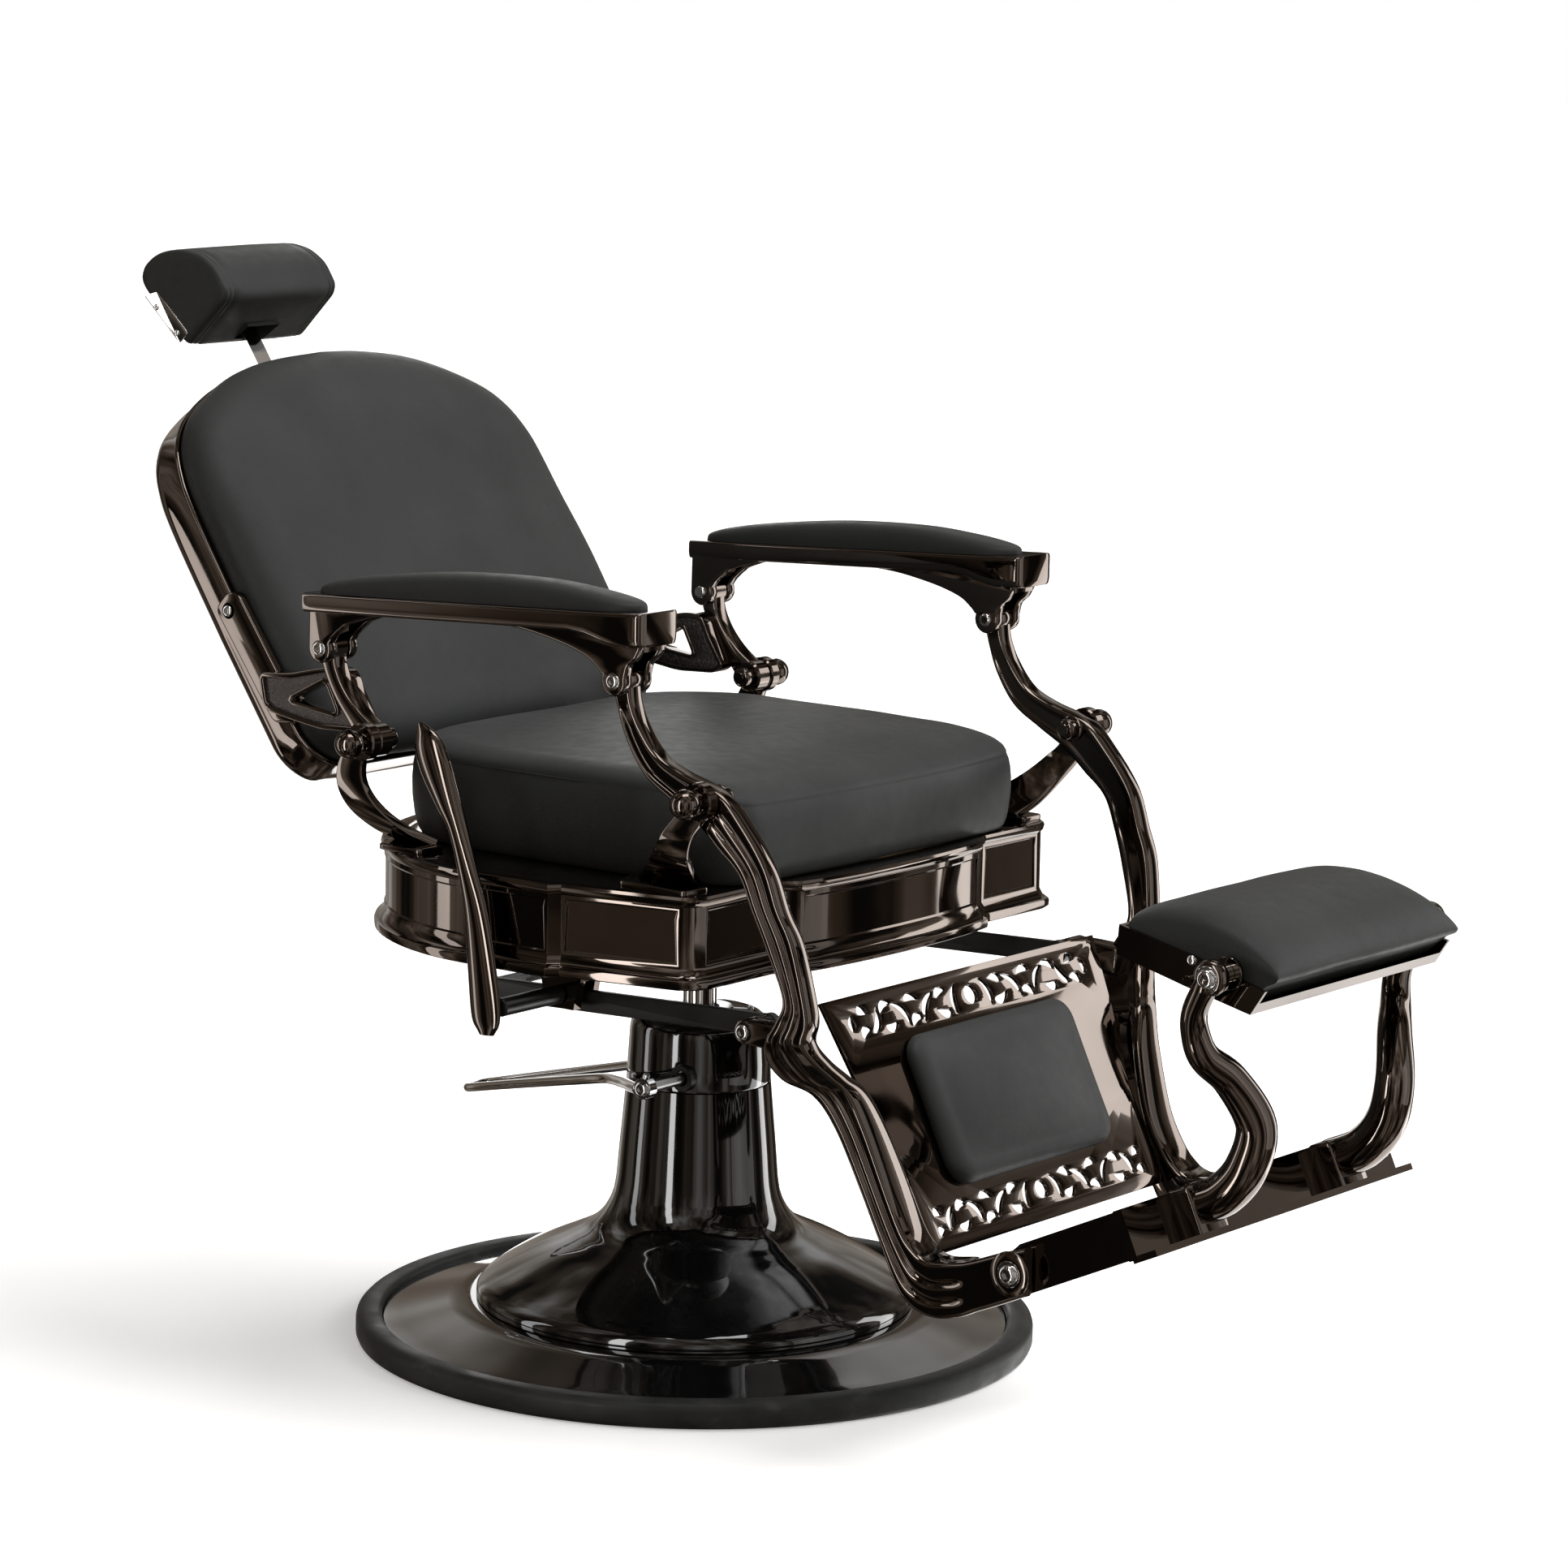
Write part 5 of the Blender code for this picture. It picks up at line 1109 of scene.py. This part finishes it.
def make_armrests():
    arch = [(-0.212, 0.7265), (-0.202, 0.735), (-0.188, 0.743), (-0.144, 0.755), (-0.067, 0.761)]
    arch += [(0.013, 0.761), (0.071, 0.753), (0.108, 0.743), (0.124, 0.733), (0.13, 0.727)]
    arch = smooth(arch, 6)
    nose = smooth([(0.16, 0.729), (0.163, 0.738), (0.171, 0.745), (0.177, 0.755)], 5)
    side_view = arc(ARMREST_REAR, 0.0145, 180, 385, 20) + arch + arc(ARMREST_FRONT, 0.0145, 160, 372, 20)
    side_view += nose + [(0.178, 0.778), (-0.2435, 0.761)]
    web = [(-0.244, 0.744), (-0.188, 0.751)] + [(x, z + 0.0028) for x, z in arch if -0.18 < x < 0.1]
    web += [(0.115, 0.749), (0.178, 0.752), (0.179, 0.78), (-0.244, 0.762)]
    rows = [(-0.245, 0.276, 0.3215), (-0.244, 0.275, 0.3225), (-0.2, 0.2738, 0.324)]
    rows += [(-0.1, 0.272, 0.327), (0.02, 0.2706, 0.33), (0.12, 0.27, 0.332)]
    rows += [(0.164, 0.2702, 0.3317), (0.18, 0.2712, 0.3308), (0.1862, 0.274, 0.328), (0.188, 0.28, 0.322)]
    rail = smooth_rows(rows, 4)
    for word, side in SIDES:
        sections = []
        for x, inner, outer in rail:
            top = cap_height(x)
            low = top - 0.019 - 0.013 * ramped(x, 0.1, 0.165)
            corners = [(inner + 0.002, low), (outer - 0.002, low), (outer, low + 0.006), (outer, top)]
            corners += [(inner, top), (inner, low + 0.006)]
            sections.append([(x, side * p.x, p.y) for p in rounded(corners, 0.0038, 4)])
        shells = [
            loft(sections),
            plate(side_view, side, 0.2755, 0.2855, ease=0.0022),
            plate(side_view, side, 0.3065, 0.317, ease=0.0026),
            plate(web, side, 0.28, 0.312, ease=0.002),
        ]
        rest = f"{word}_armrest"
        piece(f"{rest}_casting", rest, DARK_PLATE, shells, [f"{rest}_frame"])


PAD_REACH, PAD_HALF = 0.3, 0.024


def make_armrest_pads():
    rises = [(-0.237, 0.0), (-0.2345, 0.0065), (-0.205, 0.014), (-0.147, 0.0205), (-0.053, 0.0262)]
    rises += [(0.043, 0.025), (0.105, 0.0185), (0.148, 0.011), (0.165, 0.006), (0.1672, 0.0)]
    rows = smooth_rows(rises, 6)
    first, last = rows[0][0], rows[-1][0]
    for word, side in SIDES:
        sections = []
        for x, rise in rows:
            share = (x - first) / (last - first)
            wide = PAD_HALF * max(1 - abs(2 * share - 1) ** 12, 0.0) ** 0.5 + 0.0002
            low, rise = cap_height(x) + 0.0002, max(rise, 0.0006)
            ring = []
            for k in range(33):
                angle = math.pi * k / 32
                across = math.copysign(abs(math.cos(angle)) ** 0.62, math.cos(angle))
                ring.append((x, side * (PAD_REACH + wide * across), low + rise * math.sin(angle) ** 0.8))
            ring += [(x, side * (PAD_REACH + wide * edge), low) for edge in (-0.92, 0.92)]
            sections.append(ring)
        rest = f"{word}_armrest"
        padding(f"{rest}_padding", rest, [loft(sections)], [f"{rest}_pad"])
        for name, hinge in (("front", ARMREST_FRONT), ("rear", ARMREST_REAR)):
            inside = inward(hinge, side, 0.2753)
            heads = [cylinder(hinge, side, 0.2725, 0.3175, 0.004)]
            heads.append(socket_head(outward(hinge, side, 0.3172), 0.0068, 0.0032, lip=0.0014))
            heads.append(socket_head(inside, 0.0068, 0.003))
            piece(f"{word}_{name}_armrest_screw", rest, CHROME, heads, [f"{word}_{name}_armrest_pin"])


# ---------------------------------------------------------------- leg frame

# Rear edge (x, z), front edge (x, z), outer and inner reach, down the arm
LEG_ARM_ROWS = [
    (0.134, 0.719, 0.156, 0.721, 0.306, 0.286),
    (0.14, 0.695, 0.159, 0.701, 0.306, 0.286),
    (0.152, 0.665, 0.17, 0.679, 0.306, 0.286),
    (0.174, 0.635, 0.19, 0.656, 0.306, 0.286),
    (0.206, 0.615, 0.218, 0.643, 0.306, 0.286),
    (0.238, 0.597, 0.264, 0.629, 0.306, 0.286),
    (0.263, 0.576, 0.293, 0.603, 0.306, 0.286),
    (0.288, 0.555, 0.322, 0.566, 0.306, 0.286),
    (0.303, 0.523, 0.337, 0.528, 0.3045, 0.284),
    (0.317, 0.488, 0.351, 0.496, 0.3, 0.279),
    (0.332, 0.442, 0.361, 0.44, 0.293, 0.271),
    (0.322, 0.418, 0.362, 0.42, 0.291, 0.268),
    (0.311, 0.4, 0.357, 0.401, 0.29, 0.265),
    (0.304, 0.379, 0.365, 0.383, 0.28, 0.253),
    (0.314, 0.358, 0.375, 0.368, 0.267, 0.238),
    (0.341, 0.345, 0.385, 0.353, 0.255, 0.224),
    (0.36, 0.315, 0.397, 0.319, 0.245, 0.209),
    (0.382, 0.264, 0.418, 0.261, 0.237, 0.197),
    (0.406, 0.218, 0.437, 0.226, 0.237, 0.197),
    (0.429, 0.175, 0.452, 0.211, 0.237, 0.197),
    (0.449, 0.157, 0.462, 0.206, 0.237, 0.197),
    (0.474, 0.152, 0.474, 0.205, 0.237, 0.197),
    (0.502, 0.158, 0.5, 0.21, 0.237, 0.2),
    (0.522, 0.167, 0.518, 0.216, 0.237, 0.2225),
    (0.543, 0.176, 0.541, 0.225, 0.237, 0.2225),
    (0.576, 0.191, 0.575, 0.237, 0.237, 0.2225),
]
CHANNEL_ENDS, RIBS_START, RIBS_END = 4.2, 5.8, 22.4


def arm_section(row, place, side, samples=40):
    """Across the arm: rounded edges, a channel in the upper arm, and two flutes further down."""
    rear_x, rear_z, front_x, front_z, outer, inner = row
    width = math.hypot(front_x - rear_x, front_z - rear_z)
    edge = min(0.0045, width * 0.25, (outer - inner) * 0.45)
    channel = 0.005 * ramped(place, 0.9, 1.8) * (1 - ramped(place, CHANNEL_ENDS, RIBS_START - 0.6))
    flutes = 0.003 * ramped(place, CHANNEL_ENDS + 0.6, RIBS_START + 0.5)
    flutes *= 1 - ramped(place, RIBS_END - 0.8, RIBS_END)

    def point(share, reach):
        return (rear_x + (front_x - rear_x) * share, side * reach, rear_z + (front_z - rear_z) * share)

    def drop(share):
        near = min(share, 1 - share) * width
        return edge - math.sqrt(edge**2 - (edge - near) ** 2) if near < edge else 0.0

    ring = []
    for k in range(samples + 1):
        share = (1 - math.cos(math.pi * k / samples)) / 2 * 0.35 + k / samples * 0.65
        depth = channel * ramped(share, 0.2, 0.32) * (1 - ramped(share, 0.68, 0.8))
        for middle in (0.3, 0.62):
            depth += flutes * math.exp(-(((share - middle) / 0.055) ** 2))
        ring.append(point(share, outer - drop(share) - depth))
    for k in range(17):
        share = 1 - k / 16
        shallow = 0.0014 * ramped(share, 0.15, 0.3) * (1 - ramped(share, 0.7, 0.85)) * ramped(place, 1, 2)
        ring.append(point(share, inner + drop(share) + shallow))
    return ring


def make_leg_arms():
    steps = 8
    rows = smooth_rows(LEG_ARM_ROWS, steps)
    lug_line = smooth([(0.335, 0.396), (0.305, 0.399), DRAG_PIN], 5)
    lug = band(lug_line, [0.026 - 0.0004 * i for i in range(len(lug_line))])
    for word, side in SIDES:
        sections = [arm_section(row, i / steps, side) for i, row in enumerate(rows)]
        shells = [
            loft(sections),
            tube(ARMREST_FRONT, side, 0.2862, 0.3058, 0.0056, 0.013, 0.0016),
            plate(lug, side, 0.25, 0.276, ease=0.002),
            tube(DRAG_PIN, side, 0.2395, 0.276, 0.0045, 0.0115, 0.0012),
            tube(LEG_HINGE, side, 0.2845, 0.2868, 0.0074, 0.0135, 0.0008),
            tube(FOOT_HINGE, side, 0.236, 0.2382, 0.0064, 0.0215, 0.0008),
        ]
        piece(f"{word}_leg_casting", "leg_frame", DARK_PLATE, shells, [f"{word}_leg_arm"], sharp=50)
        inside = inward(FOOT_HINGE, side, 0.2128)
        bolt = [
            cylinder(FOOT_HINGE, side, 0.209, 0.238, 0.006),
            tube(FOOT_HINGE, side, 0.2382, 0.2394, 0.0061, 0.0125),
            socket_head(outward(FOOT_HINGE, side, 0.2394), 0.0092, 0.0046),
            socket_head(inside, 0.0095, 0.005),
        ]
        piece(f"{word}_footrest_hinge_bolt", "leg_frame", CHROME, bolt, [f"{word}_footrest_bolt"])
        far = inward(DRAG_PIN, side, 0.2304)
        pin = [
            cylinder(DRAG_PIN, side, 0.2275, 0.278, 0.004),
            socket_head(far, 0.0085, 0.0038),
            socket_head(outward(DRAG_PIN, side, 0.2764), 0.0076, 0.0036),
        ]
        piece(f"{word}_drag_screw", "leg_frame", CHROME, pin, [f"{word}_drag_pin"])


def panel_matrix():
    """From the calf panel's own frame (-y, down, out) to the chair's, at its top edge."""
    down = Vector((math.sin(PANEL_ANGLE), 0, -math.cos(PANEL_ANGLE)))
    out = Vector((math.cos(PANEL_ANGLE), 0, math.sin(PANEL_ANGLE)))
    turn = Matrix((Vector((0, -1, 0)), down, out)).transposed().to_4x4()
    return Matrix.Translation((0.323, 0, 0.4255)) @ turn


def petal(across, down, length, width, angle, bend=0.0, skew=0.0):
    """One cut-out: a leaf that can be bent to a crescent, or skewed to a drop."""
    turn = math.radians(angle)
    outline = []
    for k in range(32):
        around = 2 * math.pi * k / 32
        along = math.cos(around)
        half = width / 2 * math.sin(around) * (1 + skew * along)
        x, y = along * length / 2, half + bend * (along**2 - 0.5)
        shift = (x * math.cos(turn) - y * math.sin(turn), x * math.sin(turn) + y * math.cos(turn))
        outline.append((across + shift[0], down + shift[1]))
    return outline


# Cut-outs of the calf panel's left half: across, down, length, width, angle, bend, skew
UPPER_LATTICE = [
    (0.026, 0.027, 0.031, 0.0075, 72, 0.005, 0.2),
    (0.045, 0.017, 0.02, 0.008, 12, 0.002, 0.5),
    (0.047, 0.037, 0.024, 0.0085, -18, -0.003, -0.5),
    (0.07, 0.027, 0.036, 0.008, 48, 0.006, 0.3),
    (0.091, 0.016, 0.022, 0.007, -8, 0.003, 0.4),
    (0.09, 0.037, 0.022, 0.009, 14, 0.004, 0.5),
    (0.111, 0.027, 0.034, 0.008, -50, 0.006, -0.3),
    (0.13, 0.038, 0.02, 0.0085, 8, -0.003, 0.4),
    (0.133, 0.017, 0.022, 0.008, 18, 0.004, 0.4),
    (0.151, 0.029, 0.028, 0.0085, 58, -0.004, 0.3),
    (0.168, 0.017, 0.016, 0.009, -20, 0.002, 0.5),
    (0.171, 0.037, 0.018, 0.0095, 22, 0.003, 0.4),
    (0.188, 0.026, 0.018, 0.008, 75, 0.003, 0.3),
]
LOWER_LATTICE = [
    (0.024, 0.227, 0.028, 0.0075, 68, 0.005, 0.2),
    (0.043, 0.217, 0.019, 0.0085, 14, 0.002, 0.5),
    (0.044, 0.237, 0.02, 0.0085, -18, -0.003, -0.5),
    (0.066, 0.227, 0.032, 0.008, 44, 0.005, 0.3),
    (0.086, 0.217, 0.02, 0.0075, -12, 0.003, 0.4),
    (0.086, 0.238, 0.02, 0.0085, 12, 0.003, 0.4),
    (0.107, 0.227, 0.03, 0.008, -50, 0.005, -0.3),
    (0.126, 0.218, 0.02, 0.0085, 10, 0.003, 0.4),
    (0.128, 0.238, 0.02, 0.008, 14, -0.003, 0.4),
    (0.147, 0.227, 0.026, 0.0085, 60, 0.004, 0.3),
    (0.164, 0.219, 0.013, 0.009, -20, 0.002, 0.4),
    (0.165, 0.237, 0.013, 0.009, 20, 0.002, 0.4),
]


PANEL_HALF, PANEL_TOP, PANEL_END, PANEL_CORNER = 0.13, 0.053, 0.201, 0.024


def make_calf_panel():
    edge = [(-0.223, 0.0), (0.223, 0.0), (0.212, 0.075), (0.194, 0.15), (0.194, 0.257)]
    edge += [(-0.194, 0.257), (-0.194, 0.15), (-0.212, 0.075)]
    holes = [petal(0, 0.027, 0.019, 0.019, 0), petal(0, 0.227, 0.018, 0.018, 0)]
    for row in UPPER_LATTICE + LOWER_LATTICE:
        holes.append(petal(*row))
        holes.append([(-x, y) for x, y in petal(*row)])
    sheet = slab([edge, *holes], -0.002, 0.002, 0.0004, panel_matrix())
    piece("calf_lattice", "leg_frame", DARK_PLATE, [sheet], ["lattice_panel"])
    plan = []
    side, top, end = PANEL_HALF - PANEL_CORNER, PANEL_TOP + PANEL_CORNER, PANEL_END - PANEL_CORNER
    for centre, start in (((side, end), 0), ((-side, end), 90), ((-side, top), 180), ((side, top), 270)):
        plan += arc(centre, PANEL_CORNER, start, start + 90, 10)
    plan = resampled(plan, 160)
    levels = [(0.0022, -0.003), (0.003, 0.0), (0.006, 0.0014), (0.01, 0.001), (0.0135, -0.001)]
    levels += [(0.016, -0.0045), (0.0176, -0.009), (0.0186, -0.015)]
    body = pillow(plan, levels, 0.0085, panel_matrix(), 0.0009, 5.0, (0, 0.127))
    padding("calf_padding", "leg_frame", [body], ["calf_pad"])


def make_drag_link():
    line = smooth([DRAG_PIN, (0.2, 0.3969), (0.0, 0.3886), YOKE], 4)
    for word, side in SIDES:
        shells = [plate(band(line, [0.0215] * len(line)), side, 0.2312, 0.2388, ease=0.0012)]
        shells.append(tube(DRAG_PIN, side, 0.231, 0.239, 0.0045, 0.012))
        shells.append(tube(YOKE, side, 0.231, 0.239, 0.0062, 0.012))
        piece(f"{word}_drag_strip", "drag_link", SATIN, shells, [f"{word}_drag_bar"])
    shells = [cylinder(YOKE, 1, -0.244, 0.244, 0.0062)]
    shells += [tube(YOKE, side, 0.218, 0.2306, 0.0061, 0.01) for _, side in SIDES]
    piece("yoke_rod", "drag_link", STEEL, shells, ["yoke_bar"])


# ---------------------------------------------------------------- footrest

S_ARM_LINE = [
    (0.678, 0.12, 0.2725),
    (0.713, 0.1198, 0.29),
    (0.737, 0.1192, 0.32),
    (0.745, 0.119, 0.36),
    (0.73, 0.14, 0.402),
    (0.716, 0.163, 0.425),
    (0.711, 0.172, 0.448),
    (0.715, 0.18, 0.47),
    (0.729, 0.186, 0.495),
    (0.7335, 0.186, 0.504),
]
S_ARM_RADII = [0.02, 0.0205, 0.02, 0.019, 0.0168, 0.0148, 0.0133, 0.012, 0.0115, 0.01]



def foot_point(along, up):
    """A point in the footrest frame's own slope, measured from its hinge."""
    cosine, sine = math.cos(FOOT_ANGLE), math.sin(FOOT_ANGLE)
    return (FOOT_HINGE[0] + along * cosine - up * sine, FOOT_HINGE[1] + along * sine + up * cosine)


def make_footrest():
    kept("footrest_frame", 0.0016)
    corners = ((0.126, -0.026), (0.152, -0.026), (0.152, 0.024), (0.126, 0.026))
    socket = rounded([foot_point(along, up) for along, up in corners], 0.006, 4)
    blocks = [plate(socket, side, 0.0975, 0.142, ease=0.0025) for _, side in SIDES]
    piece("post_sockets", "footrest_frame", DARK_PLATE, blocks)
    for word, side in SIDES:
        line = smooth([(x, side * reach, z) for x, reach, z in S_ARM_LINE], 8)
        radii = [r[0] for r in smooth_rows([(r,) for r in S_ARM_RADII], 8)]
        shells = [bar(line, radii, 28), tube(FLIP_HINGE, side, 0.1785, 0.1925, 0.0056, 0.0165, 0.0024)]
        piece(f"{word}_swan_neck", "footrest_frame", DARK_PLATE, shells, [f"{word}_s_arm"], sharp=60)
        inside = inward(FLIP_HINGE, side, 0.1545)
        bolt = [
            cylinder(FLIP_HINGE, side, 0.15, 0.194, 0.005),
            tube(FLIP_HINGE, side, 0.1604, 0.1781, 0.0051, 0.0085),
            tube(FLIP_HINGE, side, 0.1929, 0.194, 0.0051, 0.0118),
            socket_head(outward(FLIP_HINGE, side, 0.194), 0.009, 0.0046),
            socket_head(inside, 0.0088, 0.0046),
        ]
        piece(f"{word}_flip_hinge_bolt", "footrest_pad", CHROME, bolt, [f"{word}_flip_bolt"])


FOOT_PAD_HALF, FOOT_PAD_WAIST = 0.1545, 0.506


def make_flip_pad():
    kept("footrest_tray", 0.0012)
    extras, screws = [], []
    for _, side in SIDES:
        extras.append(tube(FLIP_HINGE, side, 0.1562, 0.1602, 0.0056, 0.0154))
        extras.append(cylinder((0.696, 0.4925), side, 0.158, 0.1655, 0.0052))
        screws.append(cross_screw(outward((0.696, 0.511), side, 0.1592), 0.0048, 0.002))
    piece("flip_tray_lugs", "footrest_pad", DARK_PLATE, extras)
    piece("flip_tray_screws", "footrest_pad", CHROME, screws)
    top = [(0.619, 0.536), (0.6215, 0.544), (0.638, 0.5505), (0.656, 0.5545), (0.679, 0.556)]
    top += [(0.701, 0.555), (0.727, 0.5495), (0.753, 0.5395), (0.772, 0.5265), (0.784, 0.512)]
    top += [(0.7845, 0.503), (0.774, 0.4975)]
    over = smooth(top, 4)
    under = [Vector(p) for p in ((0.75, 0.4775), (0.69, 0.4912), (0.6206, 0.5086))]
    sections = []
    count = 46
    for i in range(count + 1):
        share = 2 * i / count - 1
        share = math.copysign(1 - (1 - abs(share)) ** 1.6, share)
        reach = FOOT_PAD_HALF * share
        shrink = 0.35 + 0.65 * (1 - abs(share) ** 11) ** 0.42
        dome = 1 + 0.035 * (1 - share**2)
        ring = []
        for x, z in over + under:
            rise = max(z - FOOT_PAD_WAIST, 0.0)
            ring.append((x, reach, z + rise * (shrink * dome - 1)))
        sections.append(ring)
    points, faces = loft(sections)
    padding("foot_padding", "footrest_pad", [(soften(points, 0.0008, 14.0, 9.1), faces)], ["footrest_pad"])


for make in (make_base, make_shroud, make_sleeve, make_pump, make_skirt, make_seat_cushion):
    make()
for make in (make_seat_brackets, make_hinge_balls, make_lever, make_hub, make_back, make_back_brackets):
    make()
for make in (make_headrest, make_knob, make_armrests, make_armrest_pads, make_leg_arms, make_calf_panel):
    make()
for make in (make_drag_link, make_footrest, make_flip_pad):
    make()
